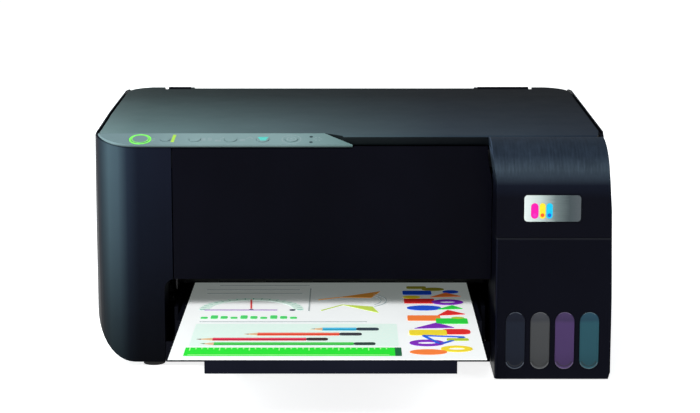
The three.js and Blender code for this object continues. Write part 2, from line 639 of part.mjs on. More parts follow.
const RING = { outer: 8.1, inner: 6.95 };
function controlPanel() {
  const rearY = PANEL_SEAM_Y - GAP;
  const profile = [
    [-134, 163.1],
    [-131.6, 163.1],
    [rearY - WALL, panelTop(rearY) - 3],
    [rearY - WALL, 161],
    [rearY, 161],
    [rearY, PANEL_Z],
    [-133, PANEL_FRONT_Z],
    [-134, 164.3],
  ];
  const plan = [
    [-200, -140],
    [OBLIQUE.front[0] + 6.8, -140],
    OBLIQUE.rear,
    [OBLIQUE.rear[0], -100],
    [-200, -100],
  ];
  const body = prismX(profile, everywhereX)
    .intersect(prismZ(plan, [150, 190]))
    .intersect(cabinetHull(1.1));
  const holes = BUTTONS.map(({ x, radius }) => onPanel(x, radius + 0.3, [-20, 20]));
  const ringSeat = onPanel(BUTTONS[0].x, RING.outer + 0.3, [-1.2, 20]);
  return cut(overTheRim(body), ...holes, ringSeat);
}

function panelButton({ x, radius }) {
  const underPanel = block(everywhereX, [-140, PANEL_SEAM_Y - GAP - WALL - 0.5], [150, 180]);
  return join(onPanel(x, radius, [-3.4, 0.4]), onPanel(x, radius + 0.9, [-4, -3.2]).intersect(underPanel));
}

const powerLight = () =>
  cut(onPanel(BUTTONS[0].x, RING.outer, [-0.9, 0.15], 28), onPanel(BUTTONS[0].x, RING.inner, [-9, 9], 28));

// ---------------------------------------------------------------- document cover
const LID_BOTTOM_Z = 164.4;
const LID_REAR_Y = 126;
const LID_RECESS = { x: [-130.9, 106], y: 118.5 };
const HINGE_BARREL = 9;

function lidPlan(offset) {
  const shape = new THREE.Shape();
  const [x0, x1] = [LID_X[0] + offset, LID_X[1] - offset];
  const rearY = LID_REAR_Y - offset;
  const frontY = LID_FRONT_Y + offset;
  const seamY = PANEL_SEAM_Y + offset;
  const along = (LID_FRONT_Y - PANEL_SEAM_Y) / (FRONT_Y - PANEL_SEAM_Y);
  const cornerX = OBLIQUE.rear[0] + (OBLIQUE.front[0] - OBLIQUE.rear[0]) * along + 0.8;
  const radius = 26 - offset;
  shape.moveTo(x0, seamY + 2);
  shape.lineTo(x0 + 2, seamY);
  shape.lineTo(OBLIQUE.rear[0] + 0.8 + offset, seamY);
  shape.lineTo(cornerX + offset, frontY);
  shape.lineTo(x1 - 4, frontY);
  shape.lineTo(x1 - 2.2, frontY + 4);
  shape.lineTo(x1, -104);
  shape.absarc(x1 - radius, rearY - radius, radius, 0, Math.PI / 2);
  shape.lineTo(LID_RECESS.x[1] + offset, rearY);
  shape.lineTo(LID_RECESS.x[1] + offset, LID_RECESS.y - offset);
  shape.lineTo(LID_RECESS.x[0] - offset, LID_RECESS.y - offset);
  shape.lineTo(LID_RECESS.x[0] - offset, rearY);
  shape.absarc(x0 + radius, rearY - radius, radius, Math.PI / 2, Math.PI);
  return shape;
}

function documentCover() {
  const profile = [
    [-140, LID_BOTTOM_Z],
    [130, LID_BOTTOM_Z],
    [130, lidZ(LID_REAR_Y) - 5],
    [LID_REAR_Y, lidZ(LID_REAR_Y) - 1],
    [LID_REAR_Y - 1, lidZ(LID_REAR_Y)],
    [PANEL_SEAM_Y, PANEL_Z],
    [LID_FRONT_Y + 1.2, lidZ(LID_FRONT_Y)],
    [LID_FRONT_Y - 1, lidZ(LID_FRONT_Y) - 1.6],
    [-140, 168],
  ];
  const slab = prismZ(lidPlan(0), [150, 190], 5).intersect(prismX(profile, everywhereX));
  const body = slab.intersect(cabinetHull(WALL + 0.7));
  const hollow = prismZ(lidPlan(4), [150, 190], 3).intersect(
    prismX(
      [
        [-140, 160],
        [130, 160],
        [130, lidZ(130) - WALL],
        [-140, lidZ(-140) - WALL],
      ],
      everywhereX,
    ),
  );
  const ears = HINGES.flatMap(({ x }) =>
    [[x[0] - 2.8, x[0] - 0.4], [x[1] + 0.4, x[1] + 2.8]].map((span) =>
      join(
        rodX(...COVER_AXIS, 3.8, span, 12),
        block(span, [116, COVER_AXIS[0]], [COVER_AXIS[1] - 3.8, COVER_AXIS[1] + 3.8]),
      ),
    ),
  );
  const notches = HINGES.map(({ x }) => block([x[0] - 0.4, x[1] + 0.4], [113.9, 140], [150, 190]));
  const outerGaps = [[HINGES[0].x[0] - 2.8, HINGES[0].x[0]], [HINGES[1].x[1], HINGES[1].x[1] + 2.8]].map((x) =>
    block(x, [113.9, 140], [172.5, 190]),
  );
  const ribs = HINGES.map(({ x }) => block([x[0] - 4, x[1] + 4], [111, 113.9], [LID_BOTTOM_Z, 175]));
  return cut(
    join(cut(body, hollow), ...ribs, ...ears),
    ...notches,
    ...outerGaps,
    rodX(...COVER_AXIS, 2.1, everywhereX, 16),
  );
}

const coverMat = () => block([-172, 128], [-104, 108.4], [163.8, 168]);

function coverHinge([x0, x1]) {
  const barrel = rodX(...COVER_AXIS, HINGE_BARREL, [x0, x1], 28).intersect(block([x0, x1], [100, 130], [163.9, 190]));
  const post = block([x0, x1], POST_Y, [147, 168]);
  return join(barrel, post, rodX(...COVER_AXIS, 2, [x0 - 2.6, x1 + 2.6], 16));
}

// ---------------------------------------------------------------- print mechanism
const FRAME_X = [-132, 177.5];
const PLATE = 1.5;
const FEED_AXIS = [30, 50.5];
const EJECT_AXIS = [-64, 52.5];
const ROD_AXIS = [-10, 105];
const CARRIAGE = { x: [113, 173], y: [-38, 21], z: [55, 128] };
const BELT = { x: [-118, 164], y: [30, 36], z: 112, inside: 6.7, thick: 1.05 };

function mainFrame() {
  const back = block(FRAME_X, [44, 44 + PLATE], [62, 134]);
  const sides = [FRAME_X[0], FRAME_X[1] - PLATE].map((x) => block([x, x + PLATE], [-72, 45], [45.5, 118]));
  const top = block(FRAME_X, [30, 45], [132.5, 134]);
  const lightening = [-90, -30, 30, 90].map((x) => block([x, x + 34], [40, 50], [78, 96]));
  const rod = rodX(...ROD_AXIS, 4, [FRAME_X[0] + 0.4, FRAME_X[1] - 0.4]);
  const idlerPin = rodY(BELT.x[0], BELT.z, 2, [29.4, 45], 12);
  return join(
    cut(
      join(back, ...sides, top),
      ...lightening,
      rodX(...FEED_AXIS, 3.1, everywhereX),
      rodX(...EJECT_AXIS, 2.6, everywhereX),
      rodY(BELT.x[1], BELT.z, 3, [40, 50], 16),
    ),
    rod,
    idlerPin,
  );
}

// The carriage with its ink dampers above, its nozzle block below and a clamp behind for the belt's lower run.
function printCarriage() {
  const body = block(CARRIAGE.x, CARRIAGE.y, CARRIAGE.z);
  const middle = (CARRIAGE.x[0] + CARRIAGE.x[1]) / 2;
  const dampers = block([CARRIAGE.x[0] + 5, CARRIAGE.x[1] - 5], [-34, -19], [127, 131]);
  const head = block([middle - 22, middle + 22], [-32, 14], [52.6, 56]);
  const clamp = block([middle - 8, middle + 8], [20, 38], [98, 110]);
  const beltSlot = block([middle - 9, middle + 9], [28, 40], [103.9, 105.7]);
  return cut(join(body, dampers, head, cut(clamp, beltSlot)), rodX(...ROD_AXIS, 4.1, everywhereX));
}

function timingBelt() {
  const outer = BELT.inside + BELT.thick;
  const loop = (r) => roundedRectangle([BELT.x[0] - r, BELT.x[1] + r], [BELT.z - r, BELT.z + r], Array(4).fill(r - 0.01));
  return cut(prismY(loop(outer), BELT.y, 4), prismY(loop(BELT.inside), [20, 40], 4));
}

function pulley(x, shaftTo, bore) {
  const wheel = rodY(x, BELT.z, BELT.inside - 0.5, [BELT.y[0] + 0.2, BELT.y[1] - 0.2], 18);
  const flanges = [[29.2, 29.9], [36.1, 36.8]].map((y) => rodY(x, BELT.z, BELT.inside + 2, y, 18));
  const hub = rodY(x, BELT.z, 4, [29.2, 40], 12);
  const whole = join(wheel, ...flanges, hub);
  return bore ? cut(whole, rodY(x, BELT.z, bore, [20, 60], 16)) : join(whole, rodY(x, BELT.z, 1.5, [29.4, shaftTo], 12));
}

function carriageMotor() {
  const can = rodY(BELT.x[1], BELT.z, 13, [46, 72], 20);
  return cut(can, rodY(BELT.x[1], BELT.z, 1.6, [40, 60], 12));
}

// Spur gears on the left of the frame join the feed roller to the eject roller.
const MODULE = 2;
const TEETH = { feed: 20, idler: 33, eject: 9 };
const GEAR_X = [-142, -136.6];
const pitchRadius = (teeth) => (teeth * MODULE) / 2;
const MESH_GAP = 0.25;

function gearOutline(teeth, [y, z], phase) {
  const r = pitchRadius(teeth);
  const [root, tip] = [r - 1.3 * MODULE, r + 0.75 * MODULE];
  const step = (2 * Math.PI) / teeth;
  const points = [];
  const at = (radius, angle) => points.push([y + radius * Math.cos(angle), z + radius * Math.sin(angle)]);
  for (let n = 0; n < teeth; n++) {
    const middle = phase + n * step;
    at(root, middle - step * 0.3);
    at(tip, middle - step * 0.11);
    at(tip, middle + step * 0.11);
    at(root, middle + step * 0.3);
  }
  return points;
}

// The idler meshes with both gears, above the line between them.
const IDLER_AXIS = (() => {
  const a = pitchRadius(TEETH.feed) + pitchRadius(TEETH.idler) + MESH_GAP;
  const b = pitchRadius(TEETH.eject) + pitchRadius(TEETH.idler) + MESH_GAP;
  const [dy, dz] = [EJECT_AXIS[0] - FEED_AXIS[0], EJECT_AXIS[1] - FEED_AXIS[1]];
  const d = Math.hypot(dy, dz);
  const along = (a * a - b * b + d * d) / (2 * d);
  const up = Math.sqrt(a * a - along * along);
  return [FEED_AXIS[0] + (along * dy + up * dz) / d, FEED_AXIS[1] + (along * dz - up * dy) / d];
})();
const angleTo = (from, to) => Math.atan2(to[1] - from[1], to[0] - from[0]);
// A gap between two of the idler's teeth faces a tooth on each neighbour.
const IDLER_PHASE = angleTo(IDLER_AXIS, FEED_AXIS) + Math.PI / TEETH.idler;
const FEED_PHASE = angleTo(FEED_AXIS, IDLER_AXIS);
const EJECT_PHASE = (() => {
  const towardsEject = angleTo(IDLER_AXIS, EJECT_AXIS);
  const step = (2 * Math.PI) / TEETH.idler;
  const past = (((towardsEject - IDLER_PHASE) % step) + step) % step; // beyond the last idler tooth
  const fromGap = past - step / 2;
  return angleTo(EJECT_AXIS, IDLER_AXIS) + (fromGap * TEETH.idler) / TEETH.eject;
})();

const wheel = (teeth, axis, phase) => prismX(gearOutline(teeth, axis, phase), GEAR_X);

function feedRoller() {
  const shaft = rodX(...FEED_AXIS, 3, [GEAR_X[0] - 1, FRAME_X[1] + 1]);
  const roller = rodX(...FEED_AXIS, 5, [SHEET.x[0] - 2, SHEET.x[1] + 2], 20);
  return join(shaft, roller, wheel(TEETH.feed, FEED_AXIS, FEED_PHASE));
}

function ejectRoller() {
  const shaft = rodX(...EJECT_AXIS, 2.5, [GEAR_X[0] - 1, FRAME_X[1] + 1], 12);
  const tyres = [0, 1, 2, 3, 4, 5].map((n) => rodX(...EJECT_AXIS, 4.2, [-108 + n * 36, -100 + n * 36], 14));
  return join(shaft, ...tyres, wheel(TEETH.eject, EJECT_AXIS, EJECT_PHASE));
}

const idlerGear = () =>
  cut(
    join(wheel(TEETH.idler, IDLER_AXIS, IDLER_PHASE), rodX(...IDLER_AXIS, 6, [GEAR_X[0] - 2, GEAR_X[1] + 2], 20)),
    rodX(...IDLER_AXIS, 3.1, everywhereX, 20),
  );

// The idler turns on a stud of its own, which is pressed into the frame's left side.
const idlerStud = () => rodX(...IDLER_AXIS, 3, [GEAR_X[0] - 2, FRAME_X[0] + 0.5], 20);

function platen() {
  const table = block([-128, 104], [-56, 22], [46.6, 50.4]);
  const ribs = [0, 1, 2, 3, 4, 5, 6, 7].map((n) => block([-116 + n * 29, -114 + n * 29], [-54, 20], [50, 51.4]));
  const padTrough = block([-122, 94], [-30, 8], [49, 52]);
  return join(cut(table, padTrough), ...ribs);
}

function cappingStation() {
  const base = block([112, 172], [-44, 18], [30, 46]);
  const cap = block([122, 164], [-32, 12], [45, 51.6]);
  return cut(join(base, cap), block([124, 162], [-30, 10], [48, 53]));
}

function mainboard() {
  const board = block([-177, -175.4], [-96, 30], [46, 138]);
  const chips = [
    [[-80, -60], [100, 120]],
    [[-46, -34], [92, 104]],
    [[-10, 14], [110, 116]],
    [[-84, -70], [60, 66]],
  ].map(([y, z]) => block([-176, -173], y, z));
  return join(board, ...chips);
}

const powerSupply = () => block([-168, -139], [56, 116], [14, 62]);

function acInlet() {
  const { x, z, half } = INLET;
  const housing = block([x - half[0] + 0.3, x + half[0] - 0.3], [118, 135.6], [z - half[1] + 0.3, z + half[1] - 0.3]);
  const socket = prismY(
    roundedRectangle([x - 8, x + 8], [z - 4.6, z + 4.6], [4.5, 4.5, 4.5, 4.5]),
    [123, 140],
    5,
  );
  const pins = [-4.3, 4.3].map((dx) => rodY(x + dx, z, 1.2, [122, 133], 10));
  return join(cut(housing, socket), ...pins);
}

function usbPort() {
  const { x, z, half } = USB;
  const housing = block([x - half[0] + 0.3, x + half[0] - 0.3], [116, 135.6], [z - half[1] + 0.3, z + half[1] - 0.3]);
  const socket = block([x - 4.6, x + 4.6], [124, 140], [z - 4.4, z + 4.4]);
  const tongue = block([x - 2.9, x + 2.9], [123, 134], [z - 3, z - 1]);
  return join(cut(housing, socket), tongue);
}

// ---------------------------------------------------------------- output tray, pulled out, and the sheet
const TRAY = { x: [-123, 95], y: [-175, -22], z: [25, 44.5] };
const STAGE = { x: [-95, 71.5], frontY: -288.4, rearY: -148 };

function outputTray() {
  const deck = block(TRAY.x, TRAY.y, [42.4, TRAY.z[1]]);
  const skirts = [[TRAY.x[0], TRAY.x[0] + 3], [TRAY.x[1] - 3, TRAY.x[1]]].map((x) => block(x, TRAY.y, TRAY.z));
  // Channels under the deck that the extension's edges run in.
  const channels = [[STAGE.x[0] - 6, STAGE.x[0] + 3], [STAGE.x[1] - 3, STAGE.x[1] + 6]].map((x) =>
    block(x, TRAY.y, [35, 43]),
  );
  const run = block([STAGE.x[0] - 0.4, STAGE.x[1] + 0.4], [-200, -10], [37, 42]);
  const under = block([STAGE.x[0] + 3.2, STAGE.x[1] - 3.2], [-200, -10], [30, 38]);
  const frontBar = [[TRAY.x[0], STAGE.x[0] - 5], [STAGE.x[1] + 5, TRAY.x[1]]].map((x) =>
    block(x, [TRAY.y[0], TRAY.y[0] + 3], [34, 43]),
  );
  return cut(join(deck, ...skirts, ...channels, ...frontBar), run, under);
}

function trayExtension() {
  const deck = block(STAGE.x, [STAGE.frontY, STAGE.rearY], [37.4, 41.6]);
  const slots = [-60, -23, 14].map((x) => block([x, x + 22], [-262, -190], [39.6, 43]));
  const bar = block(STAGE.x, [STAGE.frontY, STAGE.frontY + 6], [35.5, 44.6]);
  return join(cut(deck, ...slots), bar);
}

const printedSheet = () => block(SHEET.x, [SHEET.frontY, SHEET.frontY + SHEET.length], SHEET.z);

// ---------------------------------------------------------------- assembly
add("lower_case", lowerCase(), "inner");
add("left_cover", leftCover(), "shell");
add("right_cover", rightCover(), "shell");
add("front_cover", frontCover(), "shell");
add("rear_cover", rearCover(), "shell");
for (const { name, x, y, top } of FEET) add(name, rodZ(x, y, 8, [0, top]), "rubber");

add("tank_case", tankCase(), "shell");
INKS.forEach((ink, n) => add(`ink_tank_${ink}`, inkTank(n), `${ink}_ink`));
INKS.forEach((ink, n) => add(`tank_cap_${ink}`, tankCap(n), "rubber"));
add("tank_cover", tankCover(), "shell");
add("badge", badge(), "badge");

add("scanner_base", scannerBase(), "inner");
add("scanner_frame", scannerFrame(), "inner");
add("scanner_glass", block(GLASS.x, GLASS.y, GLASS.z), "glass");
add("cis_carriage", cisCarriage(), "inner");
add("control_panel", controlPanel(), "top");
for (const button of BUTTONS) add(button.name, panelButton(button), "button");
add("power_light", powerLight(), "light");
add("document_cover", documentCover(), "top");
add("cover_mat", coverMat(), "mat");
for (const { name, x } of HINGES) add(name, coverHinge(x), "top");

add("main_frame", mainFrame().add(idlerStud()), "steel");
add("print_carriage", printCarriage(), "inner");
add("timing_belt", timingBelt(), "rubber");
add("drive_pulley", pulley(BELT.x[1], 56, 0), "white");
add("idler_pulley", pulley(BELT.x[0], 0, 2.1), "white");
add("carriage_motor", carriageMotor(), "steel");
add("feed_roller", feedRoller(), "steel");
add("idler_gear", idlerGear(), "white");
add("eject_roller", ejectRoller(), "rubber");
add("platen", platen(), "inner");
add("capping_station", cappingStation(), "white");
add("mainboard", mainboard(), "board");
add("power_supply", powerSupply(), "inner");
add("ac_inlet", acInlet(), "inner");
add("usb_port", usbPort(), "steel");

add("paper_support", paperSupport(), "shell");
add("support_extension", supportExtension(), "shell");
add("feeder_guard", feederGuard(), "shell");
add("edge_guide_left", edgeGuide(SHEET.x[0] - 0.5, -1), "inner");
add("edge_guide_right", edgeGuide(SHEET.x[1] + 0.5, 1), "inner");
add("pickup_roller", pickupRoller(), "rubber");
add("output_tray", outputTray(), "inner");
add("tray_extension", trayExtension(), "inner");
add("printed_sheet", printedSheet(), "paper");

// The origin goes to the middle of the bounding box's bottom face.
const SHIFT_Y = -(SHEET.frontY + REAR_Y) / 2;
for (const mesh of printer.children) mesh.geometry.translate(0, SHIFT_Y, 0);

export default printer;
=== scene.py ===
"""Looks for the ink tank inkjet printer: materials, small surface pieces, floor, light and camera.

Lengths are metres, apart from the outlines of flat pieces and the edge radii, which are millimetres.
Axes: x to the right, y to the back, z up. Heights and widths count from the floor and the middle.
"""

import itertools
import json
import math

import bmesh
import bpy
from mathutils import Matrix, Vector


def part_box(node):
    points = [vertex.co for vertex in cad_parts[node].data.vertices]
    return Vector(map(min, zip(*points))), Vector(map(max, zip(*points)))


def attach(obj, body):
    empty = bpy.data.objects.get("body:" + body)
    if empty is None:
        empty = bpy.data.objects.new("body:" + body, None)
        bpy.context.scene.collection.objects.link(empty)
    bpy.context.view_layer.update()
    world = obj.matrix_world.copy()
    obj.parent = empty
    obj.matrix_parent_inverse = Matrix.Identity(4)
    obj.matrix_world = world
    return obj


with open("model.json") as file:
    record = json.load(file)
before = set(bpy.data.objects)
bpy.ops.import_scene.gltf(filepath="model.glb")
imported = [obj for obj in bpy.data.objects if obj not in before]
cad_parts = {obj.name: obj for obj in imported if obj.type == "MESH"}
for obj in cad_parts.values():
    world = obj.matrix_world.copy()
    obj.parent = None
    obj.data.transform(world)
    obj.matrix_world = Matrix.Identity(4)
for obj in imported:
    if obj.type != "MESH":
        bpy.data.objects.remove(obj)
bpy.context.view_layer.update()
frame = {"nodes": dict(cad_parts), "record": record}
NODES = frame["nodes"]
MM = 0.001
X, Y, Z = 0, 1, 2
SHEET_LO, SHEET_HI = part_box("printed_sheet")
SHEET_FRONT = 0.289  # how far the sheet's front edge stands before the cabinet's middle
SHIFT_Y = SHEET_LO[Y] + SHEET_FRONT  # where the cabinet's middle is; y values below count from it


# ---------------------------------------------------------------- colours
def tint(color, factor):
    return tuple(c * factor for c in color)


def lighter(color, factor, lift):
    return tuple(min(1, c * factor + lift) for c in color)


def grey(value):
    return (value, value, value)


# ---------------------------------------------------------------- material building blocks
def new_material(name, color, roughness, metallic=0.0, **sockets):
    """A Principled material with its constants set on the shader itself."""
    mat = bpy.data.materials.new(name)
    mat.use_nodes = True
    nt = mat.node_tree
    bsdf = nt.nodes["Principled BSDF"]
    bsdf.inputs["Base Color"].default_value = (*color, 1)
    bsdf.inputs["Roughness"].default_value = roughness
    bsdf.inputs["Metallic"].default_value = metallic
    for key, value in sockets.items():
        bsdf.inputs[key.replace("_", " ")].default_value = value
    return mat, nt, bsdf


def object_coords(nt, scale=(1, 1, 1)):
    coords = nt.nodes.new("ShaderNodeTexCoord")
    mapping = nt.nodes.new("ShaderNodeMapping")
    mapping.inputs["Scale"].default_value = scale
    nt.links.new(coords.outputs["Object"], mapping.inputs["Vector"])
    return mapping.outputs["Vector"]


def split_coords(nt, output="Object"):
    """The x, y and z sockets of the object's own position or normal."""
    coords = nt.nodes.new("ShaderNodeTexCoord")
    split = nt.nodes.new("ShaderNodeSeparateXYZ")
    nt.links.new(coords.outputs[output], split.inputs[0])
    return split.outputs


def noise(nt, scale, detail=3.0, stretch=(1, 1, 1), rough=0.55):
    node = nt.nodes.new("ShaderNodeTexNoise")
    node.inputs["Scale"].default_value = scale
    node.inputs["Detail"].default_value = detail
    node.inputs["Roughness"].default_value = rough
    nt.links.new(object_coords(nt, stretch), node.inputs["Vector"])
    return node.outputs["Fac"]


def waves(nt, period, axis, distortion=0.0, detail_scale=1.0, stretch=(1, 1, 1)):
    """Ridges, one each period, across one axis."""
    node = nt.nodes.new("ShaderNodeTexWave")
    node.bands_direction = axis
    node.inputs["Scale"].default_value = 0.314159 / period
    node.inputs["Distortion"].default_value = distortion
    node.inputs["Detail Scale"].default_value = detail_scale
    nt.links.new(object_coords(nt, stretch), node.inputs["Vector"])
    return node.outputs["Fac"]


def ramp(nt, fac, stops):
    node = nt.nodes.new("ShaderNodeValToRGB")
    elements = node.color_ramp.elements
    elements[0].position, elements[0].color = stops[0][0], (*stops[0][1], 1)
    elements[1].position, elements[1].color = stops[-1][0], (*stops[-1][1], 1)
    for position, color in stops[1:-1]:
        elements.new(position).color = (*color, 1)
    nt.links.new(fac, node.inputs["Fac"])
    return node.outputs["Color"]


def map_range(nt, value, **limits):
    node = nt.nodes.new("ShaderNodeMapRange")
    for key, limit in limits.items():
        node.inputs[key.replace("_", " ")].default_value = limit
    nt.links.new(value, node.inputs["Value"])
    return node.outputs["Result"]


def spread(nt, fac, low, high):
    """A 0 to 1 value mapped to low to high."""
    return map_range(nt, fac, To_Min=low, To_Max=high)


def axis_position(nt, axis, low, high):
    """0 at low and 1 at high along one axis of the object."""
    return map_range(nt, split_coords(nt)[axis], From_Min=low, From_Max=high)


def bump(nt, bsdf, height, distance, strength=1.0, below=None):
    node = nt.nodes.new("ShaderNodeBump")
    node.inputs["Distance"].default_value = distance
    node.inputs["Strength"].default_value = strength
    nt.links.new(height, node.inputs["Height"])
    if below is not None:
        nt.links.new(below, node.inputs["Normal"])
    nt.links.new(node.outputs["Normal"], bsdf.inputs["Normal"])
    return node.outputs["Normal"]


def math_node(nt, operation, a, b):
    node = nt.nodes.new("ShaderNodeMath")
    node.operation = operation
    for socket, value in zip(node.inputs, (a, b)):
        if isinstance(value, (int, float)):
            socket.default_value = value
        else:
            nt.links.new(value, socket)
    return node.outputs[0]


def multiply(nt, a, b):
    node = nt.nodes.new("ShaderNodeMix")
    node.data_type = "RGBA"
    node.blend_type = "MULTIPLY"
    node.inputs["Factor"].default_value = 1
    nt.links.new(a, node.inputs[6])
    nt.links.new(b, node.inputs[7])
    return node.outputs[2]


def wander(nt, value, noise_fac, amount):
    """A value that strays by up to half of amount either way."""
    stray = math_node(nt, "MULTIPLY", math_node(nt, "SUBTRACT", noise_fac, 0.5), amount)
    return math_node(nt, "ADD", value, stray)


def recolor(nt, bsdf, factor):
    """Multiplies the material's base colour by another colour."""
    color = bsdf.inputs["Base Color"].links[0].from_socket
    nt.links.new(multiply(nt, color, factor), bsdf.inputs["Base Color"])


# ---------------------------------------------------------------- plastics
SHELL_COLOR = (0.0019, 0.0020, 0.0047)
SHELL_GLOSS = 0.36
DULL = 0.025  # specular level of the shell's fine matt texture


def moulded(
    name, color, roughness, grain=0.00035, depth=0.00002, gloss_run=0.06, shade=0.18, across=(), **sockets
):
    """Moulded plastic: spark-eroded grain, faint flow marks in the colour, and rubbed patches in the gloss.

    across holds colour runs over the part, each (axis, low, high, stops); they multiply each other. Here they
    paint light and shade.
    """
    mat, nt, bsdf = new_material(name, color, roughness, **sockets)
    base = grey(1) if across else color
    flow_stops = [(0.3, tint(base, 1 - shade)), (0.55, base), (0.75, tint(base, 1 + shade))]
    result = ramp(nt, noise(nt, 14, 4, (1, 1, 0.6)), flow_stops)
    for axis, low, high, stops in across:
        result = multiply(nt, result, ramp(nt, axis_position(nt, axis, low, high), stops))
    nt.links.new(result, bsdf.inputs["Base Color"])
    patches = spread(nt, noise(nt, 45, 5), roughness - gloss_run, roughness + gloss_run)
    nt.links.new(patches, bsdf.inputs["Roughness"])
    fine = bump(nt, bsdf, noise(nt, 1 / grain, 2), depth, 0.6)
    return mat, nt, bsdf, fine


def plastic(name, color, roughness=SHELL_GLOSS, Specular_IOR_Level=DULL, **options):
    return moulded(name, color, roughness, Specular_IOR_Level=Specular_IOR_Level, **options)[0]


HIGHLIGHT_REST = 0.25  # what the painted edge highlight runs leave of a colour away from the edge


def painted_edge_highlight(node):
    """A colour run that paints a highlight along a part's front left edge and takes the rest down to the rest
    factor above.
    """
    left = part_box(node)[0][X]
    rest, pale = grey(HIGHLIGHT_REST), grey(0.62)
    stops = [(0.0, rest), (0.03, rest), (0.055, pale), (0.09, pale), (0.14, rest), (1.0, rest)]
    return (X, left, left + 10 * MM, stops)


def before_edge_highlight(stops):
    """Colours that the painted edge highlight run brings back to the ones given, away from the edge."""
    return [(position, tint(color, 1 / HIGHLIGHT_REST)) for position, color in stops]


def ribbed_top():
    """The document cover: fine ridges running side to side, with painted light and shade, palest at the front
    left.
    """
    # painted reflection of the lights: pale teal at the front left, dark slate to the right and towards the
    # back
    painted_light_side_to_side = [
        (0.0, (0.195, 0.305, 0.310)),
        (0.07, (0.145, 0.240, 0.245)),
        (0.4, (0.088, 0.138, 0.152)),
        (0.7, (0.030, 0.047, 0.066)),
        (1.0, (0.015, 0.024, 0.040)),
    ]
    painted_light_front_to_back = [(0.0, grey(1.0)), (0.42, grey(0.52)), (0.8, grey(0.16)), (1.0, grey(0.1))]
    half_width, half_depth = 0.184, 0.126
    mat, nt, bsdf, fine = moulded(
        "ribbed top plastic",
        (0.05, 0.07, 0.08),
        0.46,
        grain=0.0005,
        gloss_run=0.05,
        shade=0.08,
        across=[
            (X, -half_width, half_width, painted_light_side_to_side),
            (Y, -half_depth + SHIFT_Y, half_depth + SHIFT_Y, painted_light_front_to_back),
        ],
        Specular_IOR_Level=0.06,
    )
    # painted shade: faces that do not face up are darkened
    painted_shade_on_upright_faces = [(0.45, grey(0.09)), (0.9, grey(1.0))]
    recolor(nt, bsdf, ramp(nt, split_coords(nt, "Normal")[Z], painted_shade_on_upright_faces))
    bump(nt, bsdf, waves(nt, 0.0021, "Y"), 0.00007, 0.6, below=fine)
    return mat


def panel_top(name):
    """The control panel: painted light makes it the palest part, darker at its right end, with painted shade
    down its front edge.
    """
    # painted light across the panel, darker at its right end
    painted_light_side_to_side = [
        (0.0, (0.18, 0.27, 0.285)),
        (0.3, (0.25, 0.37, 0.375)),
        (0.7, (0.235, 0.355, 0.36)),
        (1.0, (0.155, 0.26, 0.255)),
    ]
    # painted shade: the lower part along the front edge is darkened
    up = [(0.0, grey(0.06)), (0.82, grey(0.06)), (0.93, grey(1.0)), (1.0, grey(1.0))]
    return plastic(
        name,
        (0.18, 0.27, 0.28),
        0.44,
        Specular_IOR_Level=0.15,
        shade=0.07,
        across=[(X, -0.16, 0.004, painted_light_side_to_side), (Z, 0.1452, 0.1672, up)],
    )


def wavy_cover():
    """The tank cover: smooth in front, with shallow wavy ridges down the curve at the top, and painted
    highlights on that curve.
    """
    # painted highlight: a pale band across the curve at the top, dark below it
    up = [
        (0.0, (0.0024, 0.0026, 0.0056)),
        (0.42, (0.0025, 0.0028, 0.0058)),
        (0.56, (0.0046, 0.0064, 0.0130)),
        (0.66, (0.028, 0.040, 0.056)),
        (0.72, (0.034, 0.049, 0.066)),
        (0.86, (0.0185, 0.0275, 0.042)),
        (1.0, (0.0185, 0.0275, 0.042)),
    ]
    mat, nt, bsdf, fine = moulded(
        "tank cover plastic",
        SHELL_COLOR,
        SHELL_GLOSS,
        shade=0.1,
        across=[(Z, 0.105, 0.171, before_edge_highlight(up)), painted_edge_highlight("tank_cover")],
        Specular_IOR_Level=DULL,
    )
    weave = waves(nt, 0.0024, "X", distortion=6.0, detail_scale=0.5, stretch=(1, 0.3, 0.3))
    streaks = noise(nt, 620, 3, (1, 0.12, 0.12), 0.7)
    ridges = math_node(
        nt, "ADD", math_node(nt, "MULTIPLY", weave, 0.14), math_node(nt, "MULTIPLY", streaks, 1.15)
    )
    uneven = math_node(nt, "MULTIPLY", ridges, spread(nt, noise(nt, 90, 2), 0.5, 1.1))
    height = math_node(nt, "MULTIPLY", uneven, axis_position(nt, Z, 0.139, 0.156))
    # painted highlight on the ridges: the higher a ridge, the lighter its colour
    recolor(nt, bsdf, ramp(nt, height, [(0.0, grey(1.0)), (0.3, grey(0.8)), (0.75, grey(1.35))]))
    bump(nt, bsdf, height, 0.00022, 0.9, below=fine)
    return mat


def tank_case_plastic():
    """The tank case: painted highlights along its top edge, under the cover's seam, and along its left edge.
    """
    # edge is the painted highlight colour of the top edge
    foot, wall, edge = (0.0105, 0.0120, 0.0260), (0.0084, 0.0094, 0.0215), (0.042, 0.046, 0.06)
    seam_z = 0.1045
    up = [(0.0, foot), (0.12, wall), (0.984, wall), (0.99, edge), (1.0, edge)]
    return plastic("tank case plastic", SHELL_COLOR, across=[(Z, 0.0, seam_z, up), painted_edge_highlight("tank_case")])


def left_column():
    """The left cover: a painted highlight in a band from top to bottom down its rounded front corner."""
    # painted highlight across the rounded front corner
    painted_light_side_to_side = [
        (0.0, (0.0060, 0.0070, 0.0120)),
        (0.06, (0.014, 0.024, 0.033)),
        (0.18, (0.042, 0.070, 0.086)),
        (0.32, (0.037, 0.061, 0.078)),
        (0.46, (0.0105, 0.0165, 0.028)),
        (0.62, (0.0044, 0.0064, 0.0132)),
        (1.0, (0.0042, 0.0055, 0.0118)),
    ]
    # painted shade: the highlight dims towards the bottom
    up = [(0.0, grey(0.14)), (0.22, grey(0.32)), (0.6, grey(0.85)), (1.0, grey(1.2))]
    runs = [(X, -0.184, -0.134, painted_light_side_to_side), (Z, 0.0, 0.16, up)]
    return plastic("left cover plastic", SHELL_COLOR, shade=0.1, across=runs)


